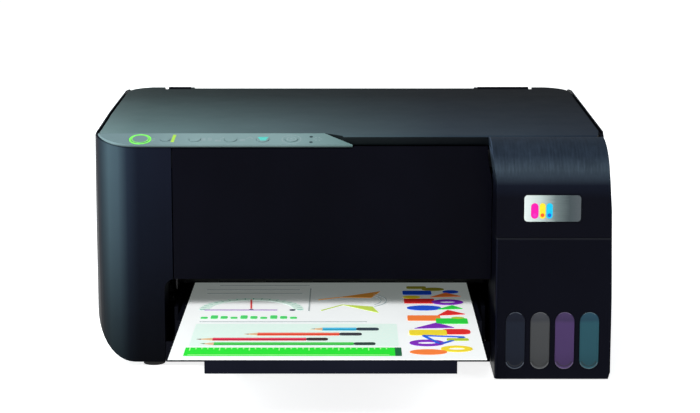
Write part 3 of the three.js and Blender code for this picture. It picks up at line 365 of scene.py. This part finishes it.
# ---------------------------------------------------------------- other materials
def zinc_steel(name="zinc plated steel", shade=1.0, metallic=1.0):
    """Zinc-plated sheet: a crystalline spangle, fine rolling lines and uneven gloss."""
    mat, nt, bsdf = new_material(name, tint((0.5, 0.51, 0.53), shade), 0.34, metallic)
    cells = nt.nodes.new("ShaderNodeTexVoronoi")
    cells.inputs["Scale"].default_value = 160
    nt.links.new(object_coords(nt), cells.inputs["Vector"])
    spangle = nt.nodes.new("ShaderNodeRGBToBW")
    nt.links.new(cells.outputs["Color"], spangle.inputs[0])
    stops = [(0.2, tint((0.42, 0.43, 0.45), shade)), (0.8, tint((0.58, 0.59, 0.61), shade))]
    nt.links.new(ramp(nt, spangle.outputs[0], stops), bsdf.inputs["Base Color"])
    nt.links.new(spread(nt, spangle.outputs[0], 0.26, 0.42), bsdf.inputs["Roughness"])
    bump(nt, bsdf, noise(nt, 300, 3, (1, 12, 12)), 0.00003, 0.5)
    return mat


def badge_metal():
    """The label plate: brushed along its length, with a painted reflection, bright at the left and dark at
    the right.
    """
    lo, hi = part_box("badge")
    mat, nt, bsdf = new_material("brushed badge", (0.3, 0.33, 0.33), 0.34, 0.12, Specular_IOR_Level=0.2)
    along = axis_position(nt, X, lo[X], hi[X])
    brushed = noise(nt, 900, 3, (0.06, 1, 1))
    # painted reflection: bright at the left, dark at the right
    stops = [
        (0.0, (0.62, 0.68, 0.66)),
        (0.28, (0.42, 0.50, 0.48)),
        (0.55, (0.12, 0.155, 0.155)),
        (0.8, (0.04, 0.055, 0.06)),
        (1.0, (0.06, 0.072, 0.08)),
    ]
    nt.links.new(ramp(nt, wander(nt, along, brushed, 0.12), stops), bsdf.inputs["Base Color"])
    nt.links.new(spread(nt, brushed, 0.26, 0.42), bsdf.inputs["Roughness"])
    bump(nt, bsdf, brushed, 0.00002, 0.4)
    return mat


WINDOW_FOOT_Z, WINDOW_TOP_Z = 8.3, 50.7  # the tank windows, mm


def ink_tank(name, ink, wall):
    """A smoky translucent tank: ink up to its level, the emptier wall above and a brighter foot."""
    mat, nt, bsdf = new_material(name, ink, 0.2, Specular_IOR_Level=0.06)
    up = axis_position(nt, Z, WINDOW_FOOT_Z * MM, WINDOW_TOP_Z * MM)
    stops = [
        (0.0, tint(ink, 1.5)),
        (0.09, tint(ink, 0.85)),
        (0.3, ink),
        (0.8, tint(ink, 1.08)),
        (0.86, wall),
        (1.0, tint(wall, 1.35)),
    ]
    nt.links.new(ramp(nt, wander(nt, up, noise(nt, 120, 2), 0.05), stops), bsdf.inputs["Base Color"])
    nt.links.new(spread(nt, noise(nt, 60, 3), 0.15, 0.26), bsdf.inputs["Roughness"])
    bump(nt, bsdf, noise(nt, 260, 2), 0.00004, 0.25)
    return mat


def cloudy(name, color, roughness, cloud, stops, tooth=None, **sockets):
    """A plain stock whose colour clouds between stops; cloud is (scale, detail) and tooth a fine bump."""
    mat, nt, bsdf = new_material(name, color, roughness, **sockets)
    nt.links.new(ramp(nt, noise(nt, *cloud), stops), bsdf.inputs["Base Color"])
    if tooth:
        scale, detail, distance, strength = tooth
        bump(nt, bsdf, noise(nt, scale, detail), distance, strength)
    return mat, nt, bsdf


PAPER_GLOW = 0.16  # painted light: paper and print glow a little inside the shaded opening


def paper_stock():
    """Copy paper: a warm-cool cloudiness, a fibrous tooth and a faint glow of painted light."""
    mat, nt, bsdf = cloudy(
        "copy paper",
        (0.92, 0.93, 0.93),
        0.82,
        (30, 4),
        [(0.3, (0.90, 0.91, 0.915)), (0.7, (0.95, 0.955, 0.95))],
        (1500, 4, 0.00002, 0.5),
        Emission_Strength=PAPER_GLOW,
    )
    bsdf.inputs["Emission Color"].default_value = (0.9, 1, 0.95, 1)
    return mat


def printed(name, color):
    """Ink on paper: the colour breaks up slightly with the paper's tooth, and glows faintly as painted light.
    """
    stops = [(0.35, tint(color, 0.93)), (0.6, color), (0.8, lighter(color, 1.05, 0.01))]
    mat, nt, bsdf = cloudy(
        "print " + name, color, 0.62, (420, 4), stops, (1500, 3, 0.00002, 0.3), Emission_Strength=PAPER_GLOW
    )
    bsdf.inputs["Emission Color"].default_value = (*color, 1)
    return mat


def mark_ink(name, color):
    """Pad-printed marks: slightly uneven ink with a soft gloss."""
    stops = [(0.3, tint(color, 0.9)), (0.7, color)]
    return cloudy(name, color, 0.4, (700, 2), stops, (1600, 2, 0.00001, 0.4), Specular_IOR_Level=0.2)[0]


def clear_glass():
    stops = [(0.3, (0.66, 0.8, 0.77)), (0.7, (0.76, 0.88, 0.86))]
    mat, nt, bsdf = cloudy("float glass", (0.72, 0.85, 0.82), 0.04, (8, 2), stops, Alpha=0.32)
    nt.links.new(spread(nt, noise(nt, 40, 4), 0.03, 0.09), bsdf.inputs["Roughness"])
    return mat


def foam_sheet():
    stops = [(0.3, (0.74, 0.74, 0.71)), (0.7, (0.83, 0.83, 0.8))]
    return cloudy("backing foam", (0.8, 0.8, 0.77), 0.75, (60, 5), stops, (900, 4, 0.00006, 0.6))[0]


def acetal():
    stops = [(0.3, (0.52, 0.52, 0.49)), (0.7, (0.64, 0.64, 0.61))]
    return cloudy("natural acetal", (0.6, 0.6, 0.57), 0.4, (50, 4), stops, (1200, 2, 0.00002, 0.4))[0]


def solder_mask():
    """A circuit board: brick-like tracks seen through the green coating."""
    mat, nt, bsdf = new_material("solder mask", (0.015, 0.1, 0.045), 0.3)
    tracks = nt.nodes.new("ShaderNodeTexBrick")
    tracks.inputs["Scale"].default_value = 120
    tracks.inputs["Color1"].default_value = (0.012, 0.09, 0.04, 1)
    tracks.inputs["Color2"].default_value = (0.018, 0.12, 0.055, 1)
    tracks.inputs["Mortar"].default_value = (0.03, 0.17, 0.08, 1)
    tracks.inputs["Mortar Size"].default_value = 0.03
    board = split_coords(nt)
    merge = nt.nodes.new("ShaderNodeCombineXYZ")
    nt.links.new(board[Y], merge.inputs[0])
    nt.links.new(board[Z], merge.inputs[1])
    nt.links.new(merge.outputs[0], tracks.inputs["Vector"])
    nt.links.new(tracks.outputs["Color"], bsdf.inputs["Base Color"])
    nt.links.new(spread(nt, noise(nt, 90, 3), 0.22, 0.4), bsdf.inputs["Roughness"])
    return mat


def glow(name, color, strength):
    """A lit indicator: the light is a little uneven along the moulded guide."""
    mat, nt, bsdf = new_material(name, color, 0.35, Emission_Strength=strength)
    colors = ramp(nt, noise(nt, 220, 2), [(0.3, tint(color, 0.82)), (0.7, color)])
    nt.links.new(colors, bsdf.inputs["Base Color"])
    nt.links.new(colors, bsdf.inputs["Emission Color"])
    return mat


shell = plastic("shell plastic", SHELL_COLOR)
frame_black = plastic("dark frame plastic", (0.0028, 0.0031, 0.0056), 0.5)
MATS = {
    "shell_plastic": shell,
    "top_plastic": ribbed_top(),
    "inner_plastic": plastic(
        "inner plastic", (0.009, 0.0095, 0.012), 0.55, Specular_IOR_Level=0.25, grain=0.0006
    ),
    "button_plastic": panel_top("button plastic"),
    "indicator_light": glow("green light guide", (0.18, 0.78, 0.10), 0.62),
    "rubber": moulded("rubber", grey(0.009), 0.8, grain=0.0008, depth=0.00004)[0],
    "steel": zinc_steel(),
    "badge_metal": badge_metal(),
    "scanner_glass": clear_glass(),
    "mat_foam": foam_sheet(),
    "paper": paper_stock(),
    "circuit_board": solder_mask(),
    "white_plastic": acetal(),
    "black_ink_tank": ink_tank("black ink tank", (0.0070, 0.0098, 0.0180), (0.0058, 0.0075, 0.0145)),
    "yellow_ink_tank": ink_tank("yellow ink tank", (0.043, 0.045, 0.047), (0.034, 0.036, 0.042)),
    "magenta_ink_tank": ink_tank("magenta ink tank", (0.048, 0.027, 0.086), (0.036, 0.023, 0.064)),
    "cyan_ink_tank": ink_tank("cyan ink tank", (0.0150, 0.057, 0.074), (0.0130, 0.041, 0.062)),
}
SPECIAL = {
    "control_panel": panel_top("control panel plastic"),
    "tank_cover": wavy_cover(),
    "left_cover": left_column(),
    "tank_case": tank_case_plastic(),
    "lower_case": frame_black,
    # painted shade: the zinc plated frame is darkened where the inside of the printer lies in shade
    "main_frame": zinc_steel("zinc plated steel in painted shade", 0.07, 0.5),
    # painted shade: the acetal gear is darkened where it lies in the shaded opening
    "idler_gear": moulded("acetal in painted shade", (0.012, 0.012, 0.014), 0.4)[0],
    "output_tray": frame_black,
    "tray_extension": plastic("tray plastic", (0.0050, 0.0058, 0.0115), 0.5),
    "cover_hinge_left": shell,
    "cover_hinge_right": shell,
}

# ---------------------------------------------------------------- the CAD nodes
SLOT_OF = {s["node"]: s["material_slot"] for s in frame["record"]["subparts"]}
ROUND_EDGES = {  # edge rounding, mm
    "left_cover": 0.7,
    "right_cover": 0.7,
    "front_cover": 0.6,
    "rear_cover": 0.7,
    "tank_case": 0.5,
    "tank_cover": 0.8,
    "document_cover": 0.7,
    "control_panel": 0.35,
    "badge": 0.25,
    "output_tray": 0.4,
    "tray_extension": 0.5,
    "lower_case": 0.5,
    "cover_hinge_left": 0.5,
    "cover_hinge_right": 0.5,
    "feeder_guard": 0.5,
    "scanner_frame": 0.4,
    "scanner_base": 0.4,
    "paper_support": 0.4,
    "support_extension": 0.3,
}
SHARP = math.radians(35)  # edges that turn more than this are real edges
WELD = 0.002 * MM


def finish_node(name, obj):
    """Gives a CAD node its material, welds its facets and rounds its edges; its own mesh stays as it is."""
    obj.data.materials.clear()
    obj.data.materials.append(SPECIAL.get(name) or MATS[SLOT_OF[name]])
    for face in obj.data.polygons:
        face.use_smooth = True
        face.material_index = 0
    weld = obj.modifiers.new("weld", "WELD")
    weld.merge_threshold = WELD
    if name in ROUND_EDGES:
        edge = obj.modifiers.new("edges", "BEVEL")
        edge.width = ROUND_EDGES[name] * MM
        edge.segments = 2
        edge.limit_method = "ANGLE"
        edge.angle_limit = SHARP
        edge.use_clamp_overlap = True
        edge.miter_outer = "MITER_ARC"
    else:
        split = obj.modifiers.new("sharp edges", "EDGE_SPLIT")
        split.split_angle = SHARP
    even = obj.modifiers.new("flat faces shade flat", "WEIGHTED_NORMAL")
    even.weight = 100
    even.keep_sharp = True


for node_name, node_object in NODES.items():
    finish_node(node_name, node_object)

# ---------------------------------------------------------------- flat surface pieces
SUNK = -0.02  # a mark's underside, mm over the surface it lies on
MARK = 0.03  # a mark's top


def flat_piece(name, outlines, place, mat, body, low=SUNK, high=MARK):
    """Thin flat shapes of one material; place(a, b, h) puts an outline's point at height h, all mm."""
    mesh = bmesh.new()
    for outline in outlines:
        under = [mesh.verts.new(place(a, b, low)) for a, b in outline]
        over = [mesh.verts.new(place(a, b, high)) for a, b in outline]
        mesh.faces.new(over)
        mesh.faces.new(under[::-1])
        for i in range(len(outline)):
            j = (i + 1) % len(outline)
            mesh.faces.new((under[i], under[j], over[j], over[i]))
    bmesh.ops.recalc_face_normals(mesh, faces=mesh.faces)
    data = bpy.data.meshes.new(name)
    mesh.to_mesh(data)
    mesh.free()
    obj = bpy.data.objects.new(name, data)
    bpy.context.collection.objects.link(obj)
    data.materials.append(mat)
    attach(obj, body)


def box_outline(x0, y0, x1, y1):
    return [(x0, y0), (x1, y0), (x1, y1), (x0, y1)]


def soft_box(x0, y0, x1, y1, radius, steps=5):
    """A box with rounded corners."""
    corners = (
        (x1 - radius, y0 + radius, -90),
        (x1 - radius, y1 - radius, 0),
        (x0 + radius, y1 - radius, 90),
        (x0 + radius, y0 + radius, 180),
    )
    points = []
    for cx, cy, start in corners:
        for k in range(steps + 1):
            angle = math.radians(start + 90 * k / steps)
            points.append((cx + radius * math.cos(angle), cy + radius * math.sin(angle)))
    return points


def oval(cx, cy, rx, ry=None, steps=36):
    ry = rx if ry is None else ry
    turn = [2 * math.pi * k / steps for k in range(steps)]
    return [(cx + rx * math.cos(t), cy + ry * math.sin(t)) for t in turn]


def arc(cx, cy, rx, ry, width, start, end, steps=20):
    """A bent strip from start to end degrees."""
    turn = [math.radians(start + (end - start) * k / steps) for k in range(steps + 1)]
    outer, inner = width / 2, -width / 2
    out = [(cx + (rx + outer) * math.cos(t), cy + (ry + outer) * math.sin(t)) for t in turn]
    back = [(cx + (rx + inner) * math.cos(t), cy + (ry + inner) * math.sin(t)) for t in turn]
    return out + back[::-1]


def ring(cx, cy, rx, width, ry=None):
    ry = rx if ry is None else ry
    return [arc(cx, cy, rx, ry, width, 0, 180), arc(cx, cy, rx, ry, width, 180, 360)]


def line(x0, y0, x1, y1, width):
    length = math.hypot(x1 - x0, y1 - y0)
    px, py = -(y1 - y0) / length * width / 2, (x1 - x0) / length * width / 2
    return [(x0 + px, y0 + py), (x0 - px, y0 - py), (x1 - px, y1 - py), (x1 + px, y1 + py)]


def rays(cx, cy, inner, outer, degrees, width):
    """Short strokes that point away from a centre."""
    turn = [math.radians(d) for d in degrees]
    return [
        line(
            cx + inner * math.cos(t),
            cy + inner * math.sin(t),
            cx + outer * math.cos(t),
            cy + outer * math.sin(t),
            width,
        )
        for t in turn
    ]


# ---------------------------------------------------------------- the printed sheet
LAYER = 0.012  # how much higher each colour of the print lies than the one before, mm
layers = itertools.count(1)


def on_sheet(u, v, height):
    """u from the sheet's left edge, v from its front edge."""
    return (SHEET_LO[X] + u * MM, SHEET_LO[Y] + v * MM, SHEET_HI[Z] + height * MM)


def print_layer(name, color, outlines):
    """One colour of the print."""
    high = LAYER * next(layers)
    mat = printed(name, color)
    flat_piece("print_" + name, outlines, on_sheet, mat, "sheet", low=-0.01, high=high)


def pencil(name, v, tip, wood, body, color, tail, tail_color):
    """A pencil lying across the page: dark point, bare wood, painted shaft in two tones, and its end."""
    half = 3.9
    point = [(tip, v), (tip + 3.4, v - 1.3), (tip + 3.4, v + 1.3)]
    print_layer(name + "_wood", (0.80, 0.52, 0.30), [[(tip, v), (wood, v - half), (wood, v + half)]])
    print_layer(name + "_point", tint(color, 0.35), [point])
    print_layer(name + "_shaft", color, [box_outline(wood, v - half, body, v + half)])
    print_layer(name + "_light", lighter(color, 1.5, 0.12), [box_outline(wood, v + 1.1, body, v + 2.7)])
    print_layer(name + "_end", tail_color, [soft_box(body, v - half, tail, v + half, 2.4)])


# a ruler along the front edge, with a tick every 4 mm and a longer one every fifth
RULE_LEFT, RULE_RIGHT, RULE_FRONT, RULE_BACK = 9.3, 150, 9.5, 32.6
print_layer("mint", (0.80, 0.97, 0.88), [soft_box(11, 36, 153, 101.6, 2)])
print_layer("rule_green", (0.015, 0.80, 0.03), [box_outline(RULE_LEFT, RULE_FRONT, RULE_RIGHT, RULE_BACK)])
print_layer("rule_end", (0.01, 0.13, 0.05), [box_outline(RULE_RIGHT, RULE_FRONT, 154.4, RULE_BACK)])
ticks = [box_outline(12 + 4 * k, 32 - (4.2 if k % 5 else 7.5), 12.8 + 4 * k, 32) for k in range(34)]
print_layer("rule_marks", (0.45, 0.98, 0.35), ticks + [box_outline(12, 12, 146, 13.4)])

pencil("pencil_green", 43.1, 17.8, 27.5, 122.4, (0.03, 0.50, 0.05), 137.2, (0.02, 0.05, 0.04))
pencil("pencil_red", 55.8, 14.6, 25.8, 89.9, (0.62, 0.012, 0.05), 104.8, (0.05, 0.03, 0.03))
pencil("pencil_orange", 70.3, 46.4, 55.9, 112.5, (0.82, 0.07, 0.03), 128.0, (0.04, 0.04, 0.05))
pencil("pencil_blue", 85.0, 91.9, 100.7, 124.3, (0.02, 0.38, 0.62), 140.0, (0.03, 0.05, 0.07))

DIAL = (48, 145)  # the protractor's centre
TICK_RINGS = (33.5, 37.5)
blocks = [
    soft_box(13 + 7.1 * k, 116.5, 18.0 + 7.1 * k, 122 + 4.5 * ((k * 2) % 3) / 2, 1.4) for k in range(10)
]
LAYERS = [
    (
        "grey_lines",
        (0.45, 0.50, 0.50),
        [
            box_outline(13, 106.2, 132, 107.6),
            box_outline(12, 198.6, 84, 200.0),
            box_outline(11, 211.8, 82, 213.2),
            box_outline(20, 227.0, 89, 228.4),
            box_outline(89.4, 141, 90.6, 217),
        ],
    ),
    ("heading", (0.08, 0.70, 0.16), blocks),
    ("protractor", (0.72, 0.90, 0.80), [arc(*DIAL, 34.5, 34.5, 7.5, 0, 180)]),
    ("protractor_marks", (0.13, 0.42, 0.34), rays(*DIAL, *TICK_RINGS, range(0, 181, 10), 0.8)),
    ("needle", (0.72, 0.05, 0.05), [line(47.8, 148.8, 46.4, 177.9, 1.3)]),
    ("purple_line", (0.34, 0.16, 0.50), [box_outline(14, 143.2, 67, 144.8)]),
    ("dots", (0.05, 0.06, 0.10), [oval(78, 144, 2.2), oval(*DIAL, 1.6)]),
    (
        "triangle_orange",
        (0.90, 0.38, 0.06),
        [[(112.4, 186.4), (142.7, 206.3), (135.8, 184.7)], line(96.6, 177.9, 112.4, 186.4, 1.0)],
    ),
    (
        "triangle_lime",
        (0.58, 0.74, 0.10),
        [[(114.4, 161.1), (136.4, 154.6), (140.7, 135.1)], line(99, 142.4, 114.4, 161.1, 1.0)],
    ),
    (
        "thin_arcs",
        (0.55, 0.62, 0.62),
        [arc(128, 176, 19, 24, 0.9, -60, 60), arc(128, 176, 15, 20, 0.7, -50, 50)],
    ),
    # the column of cut-out shapes at the right
    (
        "shape_olive",
        (0.32, 0.30, 0.03),
        [oval(183, 214, 8.5, 5.2), soft_box(163, 216, 178, 224, 2)],
    ),
    (
        "shape_blue",
        (0.01, 0.08, 0.66),
        [soft_box(159.6, 195.5, 181.4, 208.2, 2), oval(174, 150.5, 12.5, 7.6), oval(196, 205, 6, 5)],
    ),
    (
        "shape_orange",
        (0.98, 0.22, 0.04),
        [
            [(180, 186.5), (203, 189.5), (192, 201.5)],
            soft_box(161, 110.5, 184.5, 126, 1.5),
            oval(172.2, 19.5, 12.4, 6.8),
        ],
    ),
    (
        "shape_red",
        (0.80, 0.02, 0.02),
        [
            soft_box(160, 166, 182.5, 180.5, 1.2),
            [(183, 126.5), (203, 130.5), (191, 143.5)],
            soft_box(183.5, 69.5, 203.5, 84, 5),
        ],
    ),
    (
        "shape_purple",
        (0.22, 0.02, 0.50),
        ring(192, 169.5, 8.8, 5.6, 5.8)
        + [[(165, 86.5), (193, 89), (181, 103.5)]]
        + ring(172.2, 44.5, 9.2, 5.4, 6.0),
    ),
    (
        "shape_green",
        (0.02, 0.66, 0.05),
        [soft_box(181, 101, 203.5, 116.5, 1.2), [(184, 146), (202, 148), (195, 159)]],
    ),
    (
        "shape_yellow",
        (0.92, 0.72, 0.03),
        [soft_box(161, 66.5, 187, 81.5, 2.6)] + ring(191.5, 28, 8.2, 5.0, 5.8) + [oval(166, 186.5, 6.5, 4.2)],
    ),
    (
        "shape_line",
        (0.01, 0.12, 0.72),
        [
            line(170.4, 65.5, 198.3, 61.3, 2.3),
            line(198.3, 61.3, 181, 41.1, 2.3),
            line(181, 41.1, 170.4, 65.5, 2.3),
        ],
    ),
    (
        "shape_lime",
        (0.45, 0.60, 0.03),
        [oval(197, 118, 4.6, 3.2), soft_box(186, 51, 201, 57, 2)],
    ),
]
for layer in LAYERS:
    print_layer(*layer)

# ---------------------------------------------------------------- the control panel's marks
PANEL_RISE, PANEL_RUN = 5.9, 18.1  # the panel's slope, mm
TILT = math.atan2(PANEL_RISE, PANEL_RUN)
PANEL_NORMAL = Vector((0, -math.sin(TILT), math.cos(TILT)))
PANEL_SLOPE = Vector((0, math.cos(TILT), math.sin(TILT)))
PANEL_FOOT = Vector((0, -0.133 + SHIFT_Y, 0.1652))
ROW = 9.05  # the buttons' centres, up the slope
POWER_X, STOP_X = -151.8, -41.7


def on_panel(x, s, height):
    """x across, s up the panel's slope from its front edge."""
    return PANEL_FOOT + Vector((x * MM, 0, 0)) + PANEL_SLOPE * s * MM + PANEL_NORMAL * height * MM


def mark_button(name, outlines, button, mat):
    """A mark on top of one button, that goes down with it."""
    top = max((v.co - PANEL_FOOT).dot(PANEL_NORMAL) for v in NODES[button].data.vertices) / MM
    flat_piece(name, outlines, on_panel, mat, button + "_body", low=top + SUNK, high=top + 0.04)


pale_ink = mark_ink("pale mark ink", (0.29, 0.40, 0.41))
waves_mark = [arc(-140.2, 5.0, r, r, 0.9, 100, 170) for r in (3.0, 5.2)]
pages_mark = [soft_box(x, 6.6, x + 3.0, 11.6, 0.5) for x in (-107.2, -102.6)]
copy_mark = [soft_box(-97.4, 5.4, -92.9, 8.4, 0.5), line(-93.6, 9.2, -90.6, 13.0, 1.0)]
colour_copy_mark = [
    soft_box(-79.4, 6.2, -75.2, 9.4, 0.5),
    line(-74.6, 9.6, -72.0, 13.4, 0.9),
    line(-72.0, 13.4, -69.8, 9.6, 0.9),
]
sun_mark = rays(-22.6, 9.6, 1.6, 3.2, range(0, 360, 60), 0.8)
flat_piece(
    "panel_marks",
    waves_mark + pages_mark + copy_mark + colour_copy_mark + ring(STOP_X, 9.0, 6.9, 0.8) + sun_mark,
    on_panel,
    pale_ink,
    "scanner_unit",
)
flat_piece(
    "panel_dots",
    [oval(-27.4, 4.4, 1.3), oval(-27.4, 13.2, 1.3)],
    on_panel,
    mark_ink("dark mark ink", (0.03, 0.06, 0.065)),
    "scanner_unit",
    high=0.035,
)
flat_piece(
    "status_light",
    [[(-129.4, 4.4), (-127.0, 4.4), (-125.9, 16.4), (-128.1, 16.4)]],
    on_panel,
    glow("status light guide", (0.36, 0.62, 0.07), 0.42),
    "scanner_unit",
    high=0.12,
)
mark_button(
    "power_button_rim_light",
    ring(POWER_X, ROW, 6.05, 0.9),
    "power_button",
    glow("power rim light", (0.20, 0.72, 0.12), 0.45),
)
mark_button(
    "copy_colour_mark",
    [[(-66.4, 11.9), (-58.4, 12.2), (-60.2, 6.4), (-64.2, 6.4)]],
    "copy_colour_button",
    mark_ink("cyan mark ink", (0.12, 0.68, 0.60)),
)
mark_button(
    "stop_button_mark", ring(STOP_X, ROW, 3.1, 0.8) + [oval(STOP_X, ROW, 1.1)], "stop_button", pale_ink
)


# ---------------------------------------------------------------- the badge and the tank windows
def on_front(front):
    """Places points on an upright face at y front: x across and z up."""
    return lambda x, z, height: (x * MM, front - height * MM, z * MM)


# three drops of ink side by side on the badge, each with a dot in its foot: left, right, colour, dot
on_badge = on_front(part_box("badge")[0][Y])
DROP_FOOT_Z, DROP_TOP_Z, DOT_Z, DOT_RADIUS = 118.4, 129.6, 120.9, 1.35
DROPS = {
    "magenta": (128.8, 134.2, (0.80, 0.0, 0.34), (0.72, 0.02, 0.42)),
    "yellow": (134.9, 139.1, (0.86, 0.66, 0.02), (0.80, 0.10, 0.01)),
    "cyan": (139.7, 144.2, (0.0, 0.48, 0.74), (0.0, 0.10, 0.58)),
}
for drop, (left, right, color, dot_color) in DROPS.items():
    body = soft_box(left, DROP_FOOT_Z, right, DROP_TOP_Z, (right - left) / 2 - 0.05)
    dot = oval((left + right) / 2, DOT_Z, DOT_RADIUS)
    drop_ink = mark_ink(drop + " badge ink", color)
    dot_ink = mark_ink(drop + " badge dot ink", dot_color)
    flat_piece("badge_drop_" + drop, [body], on_badge, drop_ink, "tank_cover_body")
    flat_piece("badge_dot_" + drop, [dot], on_badge, dot_ink, "tank_cover_body", high=0.045)

# painted highlights on the lenses' rounded feet and shoulders, with a painted shade line inside the foot
on_lens = on_front(-0.173 + SHIFT_Y)
FIRST_WINDOW_X, WINDOW_PITCH, WINDOW_HALF = 119.1, 17.65, 7.2
WINDOW_HIGHLIGHTS = {
    "black": (0.075, 0.090, 0.115),
    "yellow": (0.11, 0.115, 0.12),
    "magenta": (0.12, 0.095, 0.17),
    "cyan": (0.07, 0.12, 0.14),
}
for count, (ink, edge) in enumerate(WINDOW_HIGHLIGHTS.items()):
    x = FIRST_WINDOW_X + WINDOW_PITCH * count
    foot_z, shoulder_z = WINDOW_FOOT_Z + WINDOW_HALF, WINDOW_TOP_Z - WINDOW_HALF
    shine = [
        arc(x, foot_z, 6.6, 6.6, 0.55, 198, 342),
        arc(x, shoulder_z, 6.6, 6.6, 0.4, 50, 130),
    ]
    shadow = [arc(x, foot_z + 0.8, 5.6, 5.6, 0.7, 200, 340)]
    highlight_ink = mark_ink(ink + " window edge", edge)
    shadow_ink = mark_ink(ink + " window line", tint(edge, 0.12))
    flat_piece("window_edge_" + ink, shine, on_lens, highlight_ink, "cabinet")
    flat_piece("window_line_" + ink, shadow, on_lens, shadow_ink, "cabinet", high=0.025)

# ---------------------------------------------------------------- camera, floor and light
CAMERA_PLACE = (0.0009, -1.5658 + SHIFT_Y, 0.3733)
CAMERA_DOWN = 10.03  # degrees
SENSOR, LENS = 36, 102.857

camera = bpy.data.objects.new("camera", bpy.data.cameras.new("camera"))
bpy.context.collection.objects.link(camera)
camera.location = CAMERA_PLACE
camera.rotation_euler = (math.radians(90 - CAMERA_DOWN), 0, 0)
camera.data.lens = LENS
camera.data.sensor_width = SENSOR
camera.data.clip_end = 50
bpy.context.scene.camera = camera
bpy.context.scene.view_settings.view_transform = "Standard"

floor_mat, floor_nt, floor_bsdf = new_material("pale floor", grey(0.93), 0.9)
floor_bsdf.inputs["Emission Color"].default_value = (1, 1, 1, 1)
floor_bsdf.inputs["Emission Strength"].default_value = 0.85
bpy.ops.mesh.primitive_plane_add(size=30, location=(0, 8, 0))
floor = bpy.context.object
floor.name = "floor"
floor.data.materials.append(floor_mat)

world = bpy.data.worlds.new("studio")
bpy.context.scene.world = world
world.use_nodes = True
background = world.node_tree.nodes["Background"]
background.inputs["Color"].default_value = (0.75, 0.8, 0.86, 1)
background.inputs["Strength"].default_value = 0.25


def softbox(name, location, target, size, power, color=(1, 1, 1)):
    light = bpy.data.lights.new(name, "AREA")
    light.shape = "RECTANGLE"
    light.size, light.size_y = size
    light.energy = power
    light.color = color
    obj = bpy.data.objects.new(name, light)
    bpy.context.collection.objects.link(obj)
    obj.location = location
    obj.rotation_euler = (Vector(target) - Vector(location)).to_track_quat("-Z", "Y").to_euler()


softbox("key", (-0.9, -1.4, 2.0), (0, 0, 0.1), (1.6, 1.2), 56)
softbox("back left", (-1.3, 1.9, 0.75), (-0.1, 0, 0.17), (1.3, 1.0), 16, (0.86, 1, 0.97))
softbox("left strip", (-1.5, -0.7, 0.3), (-0.15, 0, 0.1), (0.25, 0.9), 5, (0.85, 0.97, 1))
softbox("right fill", (1.6, -1.2, 0.6), (0.15, 0, 0.1), (0.6, 1.0), 4)
